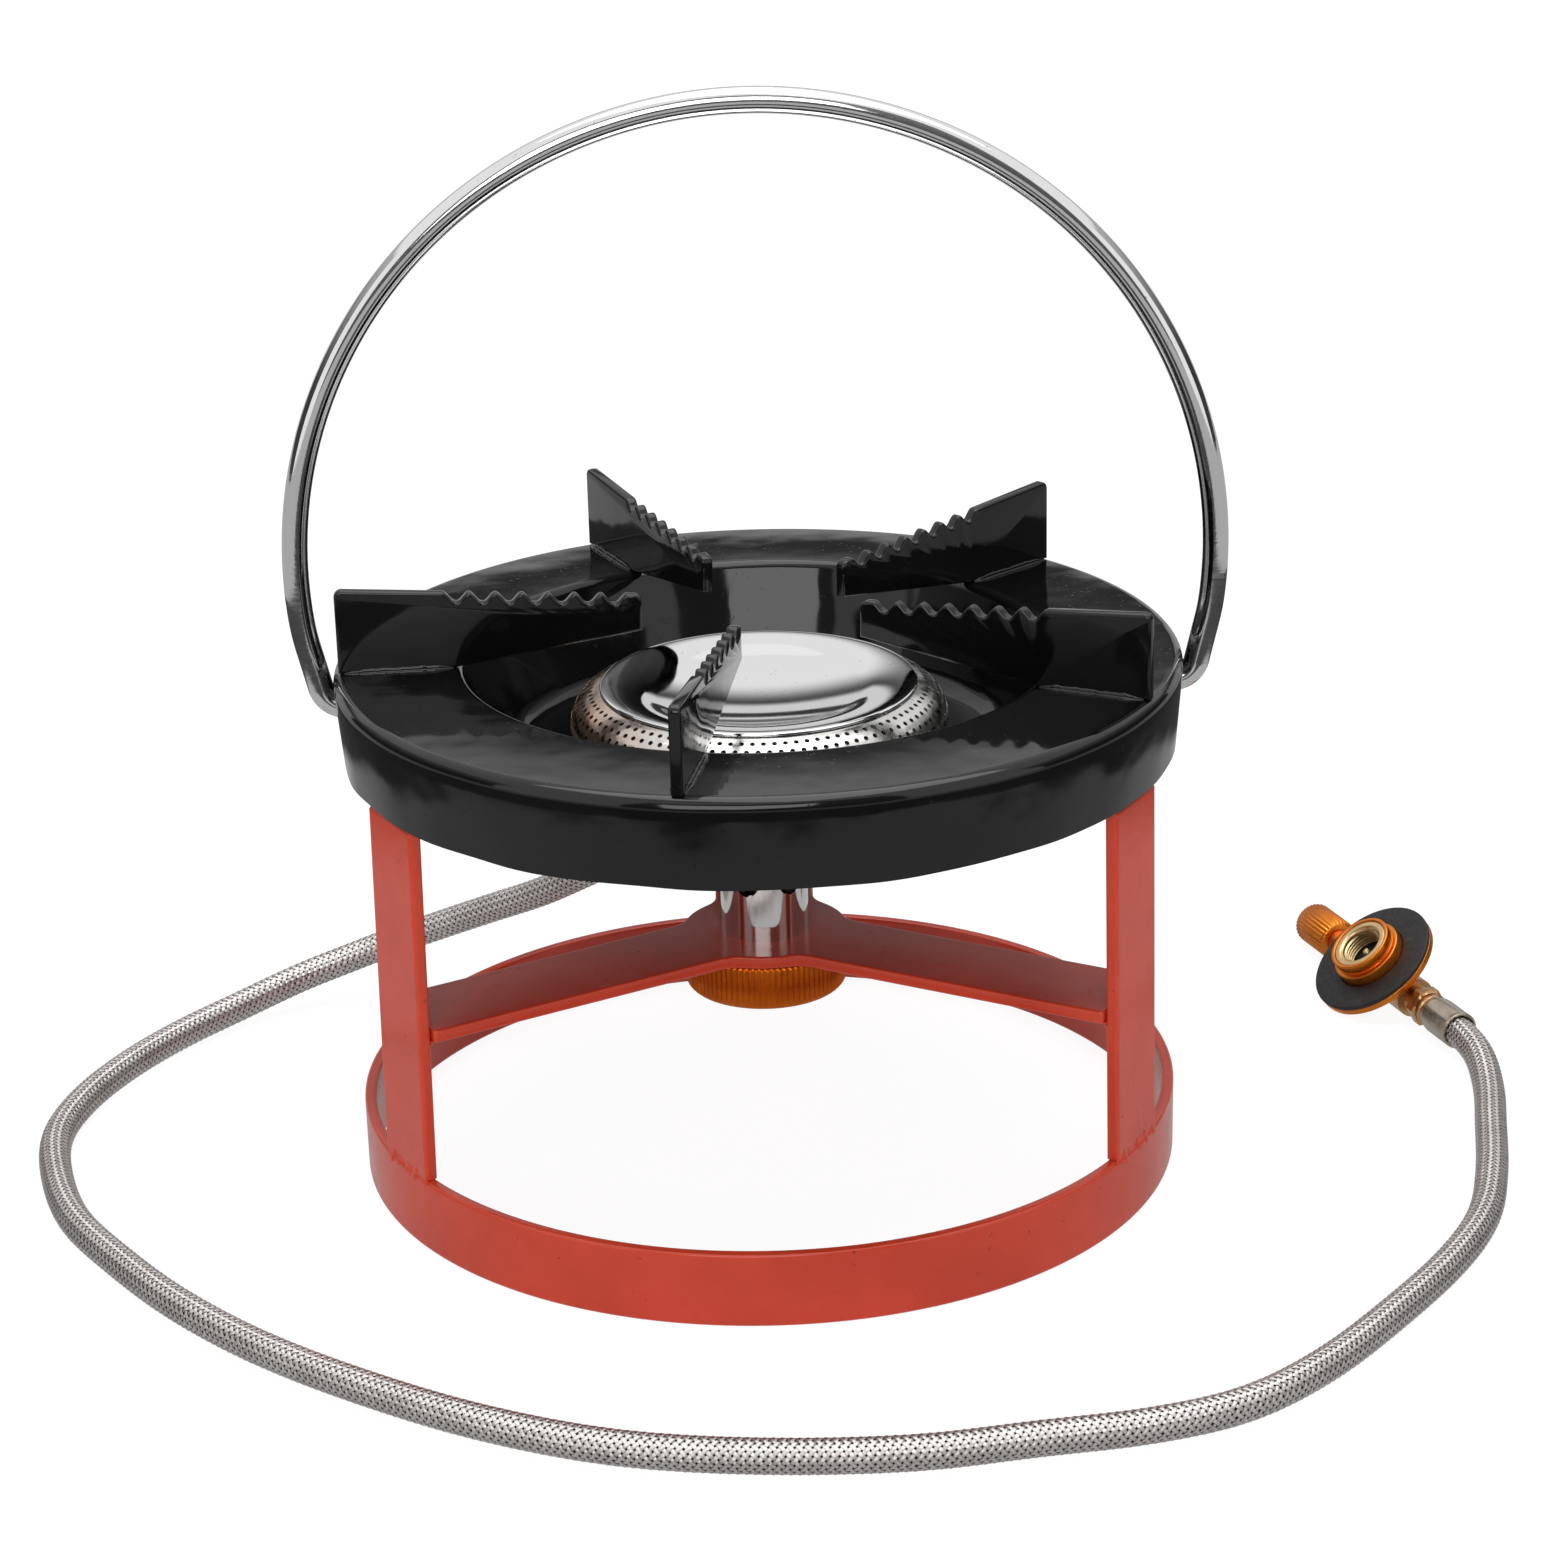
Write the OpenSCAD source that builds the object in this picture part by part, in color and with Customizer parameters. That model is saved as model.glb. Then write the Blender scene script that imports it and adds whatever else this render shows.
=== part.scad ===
// Portable gas burner stand: a welded three-legged frame carries an enamelled drip pan with
// five toothed pot supports, a ported burner head, a swinging bail handle, and a braided hose
// with a screw-on canister valve. Z is up, the base ring stands on Z = 0, and the bail swings
// about an axis parallel to X.

/* [Frame] */
// How far the base ring's outside stands inside the drip pan's edge
ring_inset = 1; // [0.5:0.1:3]
// Height of the base ring band
ring_h = 18.8; // [12:0.2:28]
// Wall of the base ring band
ring_wall = 3; // [2.5:0.1:4.5]
// Bearing of the rear leg from +X, in degrees
leg_turn = 89; // [84:1:94]
// Width of a leg bar
leg_w = 22; // [16:0.5:28]
// Thickness of a leg bar
leg_t = 4; // [3:0.25:6]
// Corner radius along a leg bar
leg_round = 1; // [0.5:0.1:1.4]
// Height of a leg's foot end above the floor
leg_foot = 3; // [1:0.5:8]
// Top face of the bracket plate above the floor
plate_z = 58.4; // [48:0.2:66]
// Thickness of the bracket plate
plate_t = 3.2; // [2.4:0.1:5]
// Radius of the bracket's centre disc
hub_r = 21; // [18:0.5:26]
// Width of a bracket arm
arm_w = 25.4; // [20:0.2:30]
// Radius where a bracket arm runs into the centre disc
arm_fillet = 8; // [3:0.5:14]

/* [Drip pan] */
// Outside radius of the drip pan
pan_r = 105; // [98:0.5:114]
// Height of the pan's flat annulus above the floor
pan_z = 132.7; // [124:0.1:145]
// Sheet thickness of the pan
sheet = 1.5; // [1:0.1:2]
// Depth of the pan's outer skirt
skirt_h = 22.6; // [16:0.2:28]
// Inward draft of the skirt at its lower lip
skirt_draft = 1.2; // [0:0.1:2]
// Rounding of the pan's outer edge
edge_round = 3.2; // [2.5:0.1:5]
// Radius of the bowl's mouth
mouth_r = 72.2; // [66:0.2:78]
// Rounding of the bowl's mouth
mouth_round = 3; // [2.5:0.1:5]
// Depth of the bowl below the annulus
bowl_depth = 26.7; // [24:0.1:32]
// Radius at which the bowl's wall turns into its floor
bowl_r = 57; // [52:0.5:62]
// Rounding between the bowl's wall and its floor
bowl_round = 8; // [4:0.5:12]
// Rise of the bowl's floor towards its wall, in degrees
floor_rise = 5; // [2:0.5:8]
// Gap between the pan and the burner's neck
neck_gap = 1.2; // [0.6:0.1:3]

/* [Pot supports] */
// Number of pot supports
claws = 5; // [5:1:5]
// Bearing of the front pot support from +X, in degrees
claw_turn = -101.6; // [-110:0.2:-90]
// Thickness of a pot support
claw_t = 3; // [2:0.1:4]
// How far a pot support's outer edge stands inside the pan's edge
claw_inset = 1.6; // [1:0.1:6]
// Radius of a pot support's inner tip
claw_in = 28.4; // [22:0.2:34]
// Height of a pot support at its outer edge
claw_h = 21.2; // [16:0.2:28]
// Fall of a pot support's top edge towards its tip, in degrees
claw_fall = 3.9; // [0:0.1:6]
// Height of the tip's end face
tip_h = 9.2; // [7:0.1:11]
// Distance from the bowl's mouth to the welded foot
foot_gap = 2.6; // [1:0.1:6]
// Teeth on a pot support
teeth = 7; // [4:1:7]
// Depth of the teeth
tooth_depth = 2.5; // [1:0.1:3.2]
// Plain length of the top edge outside the teeth
claw_land = 26.4; // [18:0.2:32]
// Plain length of the top edge between the teeth and the tip
tip_land = 3.4; // [2.5:0.1:8]
// Corner radius of a pot support
claw_round = 1.8; // [1:0.1:3]

/* [Burner] */
// Outside radius of the mixing tube
tube_r = 11.1; // [9:0.1:13]
// Wall of the mixing tube
tube_wall = 1.2; // [0.8:0.1:2]
// Number of air holes in the mixing tube
air_holes = 6; // [5:1:6]
// Bearing of the first air hole from +X, in degrees
air_turn = 5; // [2:1:7]
// Radius of an air hole
air_r = 3; // [2:0.1:3.6]
// Height of the air holes above the bracket plate
air_rise = 15; // [13:0.5:20]
// Radius of the ported ring at its widest
head_r = 47.2; // [44:0.2:50]
// Depth of the ported ring's foot below the pan's annulus
head_drop = 18.2; // [14:0.1:20]
// Rounding radius of the ported ring
port_round = 9.2; // [8:0.1:11]
// Wall of the ported ring
port_wall = 1.2; // [0.8:0.1:1.6]
// Rows of burner ports
port_rows = 3; // [1:1:4]
// Ports in a row
ports = 44; // [24:1:60]
// Radius of a burner port
port_r = 0.9; // [0.6:0.05:1.1]
// Sheet thickness of the burner cap and bowl
cap_t = 1; // [0.8:0.1:1.6]
// Radius of the cap's dish
dish_r = 26.9; // [22:0.1:31]
// Fall of the cap from its rim to its dish
cap_fall = 2; // [0.8:0.1:3]
// Depth of the cap's dish
dish_depth = 3; // [1:0.1:4]
// Wall of the burner bowl's neck
neck_wall = 2.5; // [1.2:0.1:4]

/* [Gas inlet] */
// Bearing of the inlet from +X, in degrees
inlet_turn = 105; // [86:1:106]
// Height of the inlet above the bracket plate
inlet_rise = 8.1; // [7:0.1:9]
// Radius of the inlet pipe
pipe_r = 3.2; // [2.6:0.1:3.6]
// Radius of the jet
jet_r = 3.6; // [3:0.1:5]
// Radius of the jet's orifice
orifice_r = 0.5; // [0.3:0.05:0.8]
// Radius of the threaded spigot below the bracket plate
spigot_r = 7; // [5:0.5:9]

/* [Clamp nut] */
// Radius of the clamp nut
nut_r = 20.4; // [16:0.2:24]
// Height of the clamp nut
nut_h = 11.4; // [8:0.2:14]
// Ribs round the clamp nut
nut_ribs = 60; // [40:1:80]
// Depth of the clamp nut's ribs
rib_depth = 0.5; // [0.3:0.05:0.8]

/* [Bail handle] */
// Radius of the bail's rod
rod_r = 3.2; // [2.5:0.1:4]
// How far the bail's arc stands outside the pan's edge, to the rod's centre
bail_gap = 8.1; // [6:0.1:16]
// Height of the arc's centre above the bail's pivot
bail_rise = 34.3; // [24:0.1:44]
// Depth of the bail's pivot below the pan's annulus
pivot_drop = 11.2; // [9:0.1:14]
// Inside radius of the bend at the bail's ends
bend_in = 0.8; // [0.5:0.1:3]
// Inward lean of the bail's straight ends, in degrees
bail_lean = 4; // [2:0.5:6]
// Length of rod inside the skirt
rod_in = 5; // [3:0.5:8]

/* [Hose] */
// Radius of the braided hose
hose_r = 4.1; // [3:0.1:4.4]
// Length of a crimped ferrule
ferrule_l = 14; // [10:0.5:18]
// Wall of a crimped ferrule
ferrule_wall = 0.6; // [0.4:0.1:0.9]
// Depth that the hose enters a ferrule
hose_in = 3; // [2:0.5:5]
// Width of a hexagon nut across its corners
hex_d = 11; // [9:0.2:11.6]
// Length of a hexagon nut
hex_l = 6; // [4:0.5:8]

/* [Canister adapter] */
// Radius of the adapter's disc
disc_r = 17.9; // [16.5:0.1:20]
// Thickness of the adapter's disc
disc_t = 1.9; // [1.4:0.1:3]
// Height of the disc's underside above the valve's axis
disc_base = 6.1; // [5.8:0.1:7]
// Roll of the adapter as it lies, in degrees
adapter_roll = 38; // [30:1:46]
// Thickness of the rubber pad
pad_t = 1.25; // [0.8:0.05:2]
// How far the collar's flange stands out from the collar
flange_step = 1; // [0.6:0.1:2]
// Height of the collar's flange above the pad
flange_h = 3; // [1.5:0.1:4]
// Wall of the collar round the threaded insert
collar_wall = 1.15; // [0.8:0.05:1.6]
// Height of the collar above the pad
collar_h = 6.4; // [5:0.1:9]
// Radius of the canister thread's wall
thread_r = 5.6; // [5:0.1:6.2]
// Wall of the threaded insert
insert_wall = 2.2; // [1.6:0.1:3]
// Thickness of the sealing washer
seal_t = 1.8; // [1:0.1:2.4]
// Radius of the valve pin
pin_r = 1.1; // [0.8:0.1:1.4]
// Radius of the valve body
body_r = 5.5; // [4.8:0.1:5.8]
// Radius of the valve knob
knob_r = 5.9; // [5:0.1:6]
// Length of the valve knob
knob_l = 16; // [12:0.5:20]
// Ribs round the valve knob
knob_ribs = 24; // [16:1:32]
// Radius of the valve's gland
gland_r = 4.5; // [3.8:0.1:5]
// Radius of the valve's spindle
stem_r = 2; // [1.5:0.1:2.4]

/* [Hidden] */
// Running clearance of pins and spindles, on the radius
run_fit = 0.06;
// Clearance between pieces that stand clear of one another
gap = 0.4;
legs = 3;
ring_r = pan_r - ring_inset;
ring_in = ring_r - ring_wall;
plate_bot = plate_z - plate_t;
// A leg's rounded outer corners touch the inside of the base ring
leg_face = sqrt(pow(ring_in - leg_round, 2) - pow(leg_w / 2 - leg_round, 2)) + leg_round;
leg_back = leg_face - leg_t;
leg_top = pan_z - sheet;
lip_z = pan_z - skirt_h;
bowl_z = pan_z - bowl_depth;
neck_r = tube_r + neck_wall;
pan_hole = neck_r + neck_gap;
claw_out = pan_r - claw_inset;
claw_foot = mouth_r + foot_gap;
claw_bite = claw_out - claw_land;
tooth_pitch = (claw_bite - claw_in - tip_land) / teeth;
// Even spacing, less what each pot support was welded off it, in degrees
weld_shift = [0, 2.7, -1.2, -0.5, -2.1];
tip_top = claw_h - (claw_out - claw_in) * tan(claw_fall);
pivot_z = pan_z - pivot_drop;
bail_r = pan_r + bail_gap;
bend_r = rod_r + bend_in;
// The bend's rod is finer by this much, so that its ends sit inside the straight rods
rod_step = 0.02;
rod_end = pan_r - sheet - rod_in;
skirt_bore = rod_r + run_fit;
// Ported ring: a rounded band between the burner's bowl and its cap
head_z = pan_z - head_drop;
port_c = head_r - port_round;
port_top = 80;
cap_r = port_c + port_round * cos(port_top);
cap_z = head_z + port_round * sin(port_top);
cap_top = cap_z + cap_t;
cap_slope = cap_fall / (cap_r - dish_r);
lip_r = cap_r - port_wall - gap;
lip_t = 1;
lip_h = 1.6;
tube_top = head_z - 8;
tube_in = tube_r - tube_wall;
neck_in = tube_r + 0.05;
inlet_z = plate_z + inlet_rise;
inlet_hex = tube_r + 7;
inlet_ferrule = inlet_hex + hex_l;
inlet_hose = inlet_ferrule + ferrule_l - hose_in;
// Bore of the gas passages
gas_r = 1;
block_h = 2 * pipe_r + 2;
foot_h = inlet_rise - block_h / 2;
jet_l = 9;
nut_top = plate_bot - 0.1;
nut_bot = nut_top - nut_h;
nut_rim = 5;
nut_recess = 3;
ferrule_bore = hose_r + gap;
ferrule_r = ferrule_bore + ferrule_wall;
// Adapter, laid on the floor beside the stand
valve_x = 174.4;
valve_y = 71.2;
valve_turn = -71.2;
disc_edge = 0.4;
valve_z = max(knob_r, (disc_r - disc_edge) * sin(adapter_roll) - disc_base * cos(adapter_roll))
  + 0.05;
insert_r = thread_r + insert_wall;
insert_fit = insert_r + 0.05;
collar_r = insert_r + collar_wall;
flange_r = collar_r + flange_step;
pad_base = disc_base + disc_t;
pad_top = pad_base + pad_t;
pad_in = flange_r + 0.1;
flange_top = pad_top + flange_h;
collar_top = pad_top + collar_h;
bevel = 0.5;
insert_top = collar_top - 0.3;
mouth_bevel = 1.2;
seat_z = disc_base + 1.5;
seal_top = seat_z + seal_t;
outlet_hex = disc_r + 1;
outlet_ferrule = outlet_hex + hex_l;
outlet_hose = outlet_ferrule + ferrule_l - hose_in;
body_back = 14;
body_front = 15;
gland_end = 28;
packing_r = gland_r - 1;
packing_l = 2;
knob_face = gland_end + gap;
stem_in = 6;

steel_red = [0.76, 0.24, 0.17];
enamel = [0.06, 0.06, 0.07];
chrome = [0.82, 0.83, 0.85];
orange = [0.85, 0.42, 0.10];
brass = [0.78, 0.62, 0.34];
nickel = [0.62, 0.58, 0.50];
rubber = [0.10, 0.10, 0.10];
braid = [0.66, 0.66, 0.67];

// Points of an arc, n steps from a0 to a1
function arc(cx, cy, r, a0, a1, n) =
  [for (i = [0:n]) let (a = a0 + (a1 - a0) * i / n) [cx + r * cos(a), cy + r * sin(a)]];
function unit(v) = v / norm(v);
function flat_dir(a) = [cos(a), sin(a), 0];

// Flat bar section with rounded corners
module bar_section(w, t, r) {
  union() {
    square([t - 2 * r, w], center = true);
    square([t, w - 2 * r], center = true);
    for (sx = [-1, 1], sy = [-1, 1])
      translate([sx * (t / 2 - r), sy * (w / 2 - r)]) circle(r, $fn = 16);
  }
}

// Disc with straight ribs round its rim
module ribbed(r, h, n, depth, bevel) {
  section = [for (i = [0:2 * n - 1]) let (a = 180 * i / n, q = r - (i % 2) * depth)
    [q * cos(a), q * sin(a)]];
  intersection() {
    linear_extrude(h) polygon(section);
    rotate_extrude($fn = 36) polygon([[0, 0], [r - bevel, 0], [r + 0.2, bevel + 0.2],
      [r + 0.2, h - bevel - 0.2], [r - bevel, h], [0, h]]);
  }
}

// Frame
module base_ring() color(steel_red)
  rotate_extrude($fn = 72)
    translate([ring_in + ring_wall / 2, ring_h / 2]) bar_section(ring_h, ring_wall, ring_wall / 4);

module leg(i) color(steel_red)
  rotate([0, 0, leg_turn + i * 360 / legs]) translate([leg_face - leg_t / 2, 0, leg_foot])
    linear_extrude(leg_top - leg_foot) bar_section(leg_w, leg_t, leg_round);

// Bracket outline: three arms that run into the centre disc through hollow fillets
arm_half = arm_w / 2;
fillet_x = sqrt(pow(hub_r + arm_fillet, 2) - pow(arm_half + arm_fillet, 2));
fillet_a = atan2(arm_half + arm_fillet, fillet_x);
function turned(a, pts) = [for (q = pts) [q[0] * cos(a) - q[1] * sin(a), q[0] * sin(a) + q[1] * cos(a)]];
function arm_outline(a) = turned(a, concat(
  arc(fillet_x, -arm_half - arm_fillet, arm_fillet, 180 - fillet_a, 90, 8),
  [[leg_back, -arm_half], [leg_back, arm_half]],
  arc(fillet_x, arm_half + arm_fillet, arm_fillet, -90, fillet_a - 180, 8),
  arc(0, 0, hub_r, fillet_a, 360 / legs - fillet_a, 6)));

module bracket() color(steel_red)
  translate([0, 0, plate_bot]) difference() {
    linear_extrude(plate_t)
      polygon([for (i = [0:legs - 1]) each arm_outline(leg_turn + i * 360 / legs)]);
    translate([0, 0, -1]) cylinder(h = plate_t + 2, r = spigot_r + 0.2, $fn = 32);
  }

// Drip pan: one pressed sheet, drawn as its upper path and the same path moved in by the sheet
function pan_path(t) = let (
    mc = [mouth_r + mouth_round, pan_z - mouth_round],
    bc = [bowl_r, bowl_z + bowl_round],
    v = bc - mc,
    lean = atan2(v[1], v[0]) + 360 - acos((mouth_round + bowl_round) / norm(v)),
    down = 270 + floor_rise,
    fc = bc + (bowl_round + t) * [cos(down), sin(down)]
  ) concat(
    [[pan_r - skirt_draft - t, lip_z]],
    arc(pan_r - edge_round, pan_z - edge_round, edge_round - t, 0, 90, 4),
    arc(mc[0], mc[1], mouth_round - t, 90, lean, 4),
    arc(bc[0], bc[1], bowl_round + t, lean + 180, down, 4),
    [[pan_hole, fc[1] - (fc[0] - pan_hole) * tan(floor_rise)]]);

module drip_pan() color(enamel) difference() {
  rotate_extrude($fn = 64)
    polygon(concat(pan_path(0), [for (i = [len(pan_path(0)) - 1:-1:0]) pan_path(sheet)[i]]));
  for (s = [0, 180]) rotate([0, 0, s]) translate([rod_end - 1, 0, pivot_z]) rotate([0, 90, 0])
    cylinder(h = pan_r - rod_end + 2, r = skirt_bore, $fn = 24);
}

// Pot support: a radial plate with a toothed top edge and an undercut tip
function claw_top(x) = claw_h - (claw_out - x) * tan(claw_fall);
tooth_steps = 6;
function tooth(k) = tooth_depth * (1 - cos(360 * k / tooth_steps)) / 2;
claw_section = concat(
  [[claw_foot, 0], [claw_out, 0]],
  arc(claw_out - claw_round, claw_h - claw_round, claw_round, 0, 90 + claw_fall, 3),
  [for (k = [0:teeth * tooth_steps]) let (x = claw_bite - k * tooth_pitch / tooth_steps)
    [x, claw_top(x) - tooth(k)]],
  arc(claw_in + claw_round, claw_top(claw_in) - claw_round, claw_round, 90 + claw_fall, 180, 3),
  [[claw_in, tip_top - tip_h]]);

module pot_support(i) color(enamel)
  rotate([0, 0, claw_turn + i * 360 / claws + weld_shift[i]]) translate([0, claw_t / 2, pan_z])
    rotate([90, 0, 0]) linear_extrude(claw_t) polygon(claw_section);

// Burner
module mixing_tube() color(chrome) difference() {
  translate([0, 0, plate_z]) cylinder(h = tube_top - plate_z, r = tube_r, $fn = 36);
  translate([0, 0, plate_z - 1]) cylinder(h = tube_top - plate_z + 2, r = tube_in, $fn = 36);
  for (i = [0:air_holes - 1])
    rotate([0, 0, air_turn + i * 360 / air_holes])
      translate([0, 0, plate_z + air_rise]) rotate([0, 90, 0])
        cylinder(h = tube_r + 1, r = air_r, $fn = 20);
  rotate([0, 0, inlet_turn]) translate([0, 0, inlet_z]) rotate([0, 90, 0])
    cylinder(h = tube_r + 1, r = pipe_r + 0.1, $fn = 20);
}

// Plug in the tube's lower end with the spigot that the clamp nut screws on
module tube_foot() color(brass) union() {
  translate([0, 0, plate_z]) cylinder(h = foot_h, r = tube_in - 0.05, $fn = 36);
  translate([0, 0, nut_bot + 1]) cylinder(h = plate_z - nut_bot, r = spigot_r, $fn = 32);
}

// Elbow: a block on the foot with the pipe that runs out through the tube's wall
module jet_holder() color(brass) difference() {
  union() {
    translate([0, 0, plate_z + foot_h]) cylinder(h = block_h, r = jet_r + 1.6, $fn = 6);
    at_inlet(0) rotate([0, 90, 0]) cylinder(h = inlet_ferrule, r = pipe_r, $fn = 24);
  }
  at_inlet(0) rotate([0, 90, 0]) cylinder(h = inlet_ferrule + 1, r = gas_r, $fn = 16);
  translate([0, 0, inlet_z]) cylinder(h = block_h, r = gas_r, $fn = 16);
}

module jet() color(brass)
  translate([0, 0, plate_z + foot_h + block_h]) difference() {
    rotate_extrude($fn = 24) polygon([[0, 0], [jet_r, 0], [jet_r, jet_l / 3],
      [jet_r - 1, jet_l / 3 + 1], [orifice_r + cap_t, jet_l], [0, jet_l]]);
    translate([0, 0, -1]) cylinder(h = jet_l - 1, r = gas_r, $fn = 16);
    translate([0, 0, jet_l - 3]) cylinder(h = 4, r = orifice_r, $fn = 16);
  }

// Pressed bowl that carries the ported ring on its upper edge: a neck that slips over the
// tube, a cone, and a rim that turns up
neck_l = 8;
rim_step = 5;
rim_rise = 3.5;
module burner_bowl() color(chrome)
  rotate_extrude($fn = 60) polygon([
    [neck_in, tube_top - neck_l], [neck_r, tube_top - neck_l], [neck_r, tube_top - cap_t],
    [neck_r + rim_rise, tube_top], [head_r - rim_step, head_z - rim_rise],
    [head_r - cap_t, head_z - rim_rise / 2], [head_r, head_z], [head_r - cap_t, head_z],
    [head_r - 2 * cap_t, head_z - cap_t],
    [head_r - rim_step, head_z - rim_rise + 1.4 * cap_t],
    [neck_r + rim_rise, tube_top + cap_t], [neck_in, tube_top + cap_t / 4]]);

// Ported ring: rows of ports square to its rounded wall, each row half a pitch round
module port_ring() color(chrome) difference() {
  rotate_extrude($fn = 2 * ports) polygon(concat(
    arc(port_c, head_z, port_round, 0, port_top, 6),
    arc(port_c, head_z, port_round - port_wall, port_top, 0, 6)));
  for (k = [0:port_rows - 1], i = [0:ports - 1])
    rotate([0, 0, (i + (k % 2) / 2) * 360 / ports])
      translate([port_c, 0, head_z])
        rotate([0, 90 - port_top * (k + 0.75) / (port_rows + 0.5), 0])
          translate([0, 0, port_round - port_wall - 0.5])
            cylinder(h = port_wall + 1, r = port_r, $fn = 6);
}

// Dished cap, with a lip that seats inside the ported ring
dish_steps = 5;
function dish_z(k) = cap_top - cap_fall - dish_depth * (1 - pow(k / dish_steps, 2));
module burner_cap() color(chrome)
  rotate_extrude($fn = 60) polygon(concat(
    [for (k = [0:dish_steps]) [dish_r * k / dish_steps, dish_z(k) - cap_t]],
    [[lip_r - lip_t, cap_z - (cap_r - lip_r + lip_t) * cap_slope], [lip_r - lip_t, cap_z - lip_h],
      [lip_r, cap_z - lip_h], [lip_r, cap_z], [cap_r, cap_z], [cap_r + gap, cap_z + cap_t / 2],
      [cap_r, cap_top]],
    [for (k = [dish_steps:-1:0]) [dish_r * k / dish_steps, dish_z(k)]]));

// Hand nut that clamps the burner to the bracket
module clamp_nut() color(orange) translate([0, 0, nut_bot]) difference() {
  ribbed(nut_r, nut_h, nut_ribs, rib_depth, 1);
  translate([0, 0, -1]) cylinder(h = nut_h + 2, r = spigot_r + run_fit, $fn = 32);
  translate([0, 0, -1]) cylinder(h = nut_recess + 1, r = nut_r - nut_rim, $fn = 36);
}

// Bail: an arc, two straight ends that lean in, and a bend into the skirt at each side
bail_z = pivot_z + bail_rise;
lean_z = bail_z - bail_r * sin(bail_lean);
bend_z = pivot_z + bend_r * (1 - sin(bail_lean));
lean_l = (lean_z - bend_z) / cos(bail_lean);
bend_x = bail_r * cos(bail_lean) - lean_l * sin(bail_lean) - bend_r * cos(bail_lean);
// Round rod bent through an arc, from a0 to a1 in the XZ plane
module bent_rod(r, thick, a0, a1, fn) rotate([90, 0, 0]) rotate([0, 0, a0])
  rotate_extrude(angle = a1 - a0, $fn = fn) translate([r, 0]) circle(thick, $fn = 16);
module bail_end() {
  translate([bail_r * cos(bail_lean), 0, lean_z]) rotate([0, 180 + bail_lean, 0])
    cylinder(h = lean_l, r = rod_r, $fn = 16);
  translate([bend_x, 0, pivot_z + bend_r])
    bent_rod(bend_r, rod_r - rod_step, -93, 3 - bail_lean, 48);
  translate([rod_end, 0, pivot_z]) rotate([0, 90, 0])
    cylinder(h = bend_x - rod_end, r = rod_r, $fn = 16);
}
module bail() color(chrome) union() {
  translate([0, 0, bail_z])
    bent_rod(bail_r, rod_r - rod_step, -bail_lean - 0.3, 180.3 + bail_lean, 72);
  bail_end();
  mirror([1, 0, 0]) bail_end();
}

// Hexagon nut and crimped ferrule, along +X from the origin
module hose_nut() rotate([0, 90, 0]) difference() {
  cylinder(h = hex_l, d = hex_d, $fn = 6);
  translate([0, 0, -1]) cylinder(h = hex_l + 2, r = pipe_r + 0.05, $fn = 24);
}
module hose_ferrule() rotate([0, 90, 0]) difference() {
  cylinder(h = ferrule_l, r = ferrule_r, $fn = 32);
  translate([0, 0, ferrule_l - hose_in]) cylinder(h = hose_in + 1, r = ferrule_bore, $fn = 32);
}
module at_inlet(x) rotate([0, 0, inlet_turn]) translate([x, 0, inlet_z]) children();
module inlet_nut() color(brass) at_inlet(inlet_hex) hose_nut();
module inlet_ferrule() color(nickel) at_inlet(inlet_ferrule) hose_ferrule();

// Canister adapter: its own X runs along the valve towards the hose, its own Z is the canister's axis
module at_valve(x = 0) translate([valve_x, valve_y, valve_z]) rotate([0, 0, valve_turn])
  translate([x, 0, 0]) children();
module at_disc() at_valve() rotate([adapter_roll, 0, 0]) children();

module valve_body() color(brass) difference() {
  union() {
    at_valve(-body_back) rotate([0, 90, 0])
      cylinder(h = body_back + body_front, r = body_r, $fn = 36);
    at_valve(body_front - 1) rotate([0, 90, 0])
      cylinder(h = outlet_hex - body_front + 1, r = body_r - 1.2, $fn = 36);
    at_valve(outlet_hex - 1) rotate([0, 90, 0]) cylinder(h = hex_l + 1, r = pipe_r, $fn = 24);
    at_disc() translate([0, 0, 1]) cylinder(h = disc_base - 1, r = insert_r - 0.8, $fn = 36);
  }
  at_valve(-body_back - 1) rotate([0, 90, 0])
    cylinder(h = body_back + 1.2 - stem_in, r = stem_r + run_fit, $fn = 24);
  at_valve(-stem_in) rotate([0, 90, 0])
    cylinder(h = stem_in + outlet_ferrule + 1, r = gas_r, $fn = 16);
}

module adapter_disc() color(orange) at_disc()
  rotate_extrude($fn = 48) polygon([[insert_fit, disc_base], [disc_r - disc_edge, disc_base],
    [disc_r, disc_base + disc_edge], [disc_r, pad_base], [flange_r, pad_base],
    [flange_r, flange_top - bevel], [flange_r - bevel, flange_top],
    [collar_r - bevel, flange_top], [collar_r - bevel, flange_top + bevel],
    [collar_r, flange_top + 2 * bevel], [collar_r, collar_top - bevel],
    [collar_r - bevel, collar_top], [insert_fit, collar_top]]);

module adapter_pad() color(rubber) at_disc()
  rotate_extrude($fn = 48) polygon([[pad_in, pad_base], [disc_r + 0.1, pad_base],
    [disc_r + 0.1, pad_top - bevel], [disc_r - bevel, pad_top], [pad_in, pad_top]]);

module thread_insert() color(brass) at_disc() difference() {
  translate([0, 0, disc_base]) cylinder(h = insert_top - disc_base, r = insert_r, $fn = 36);
  translate([0, 0, seat_z]) cylinder(h = insert_top, r = thread_r, $fn = 36);
  translate([0, 0, insert_top - mouth_bevel])
    cylinder(h = mouth_bevel, r1 = thread_r, r2 = thread_r + mouth_bevel, $fn = 36);
  translate([0, 0, disc_base - 1]) cylinder(h = 4, r = pin_r + 0.1, $fn = 16);
}

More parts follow.
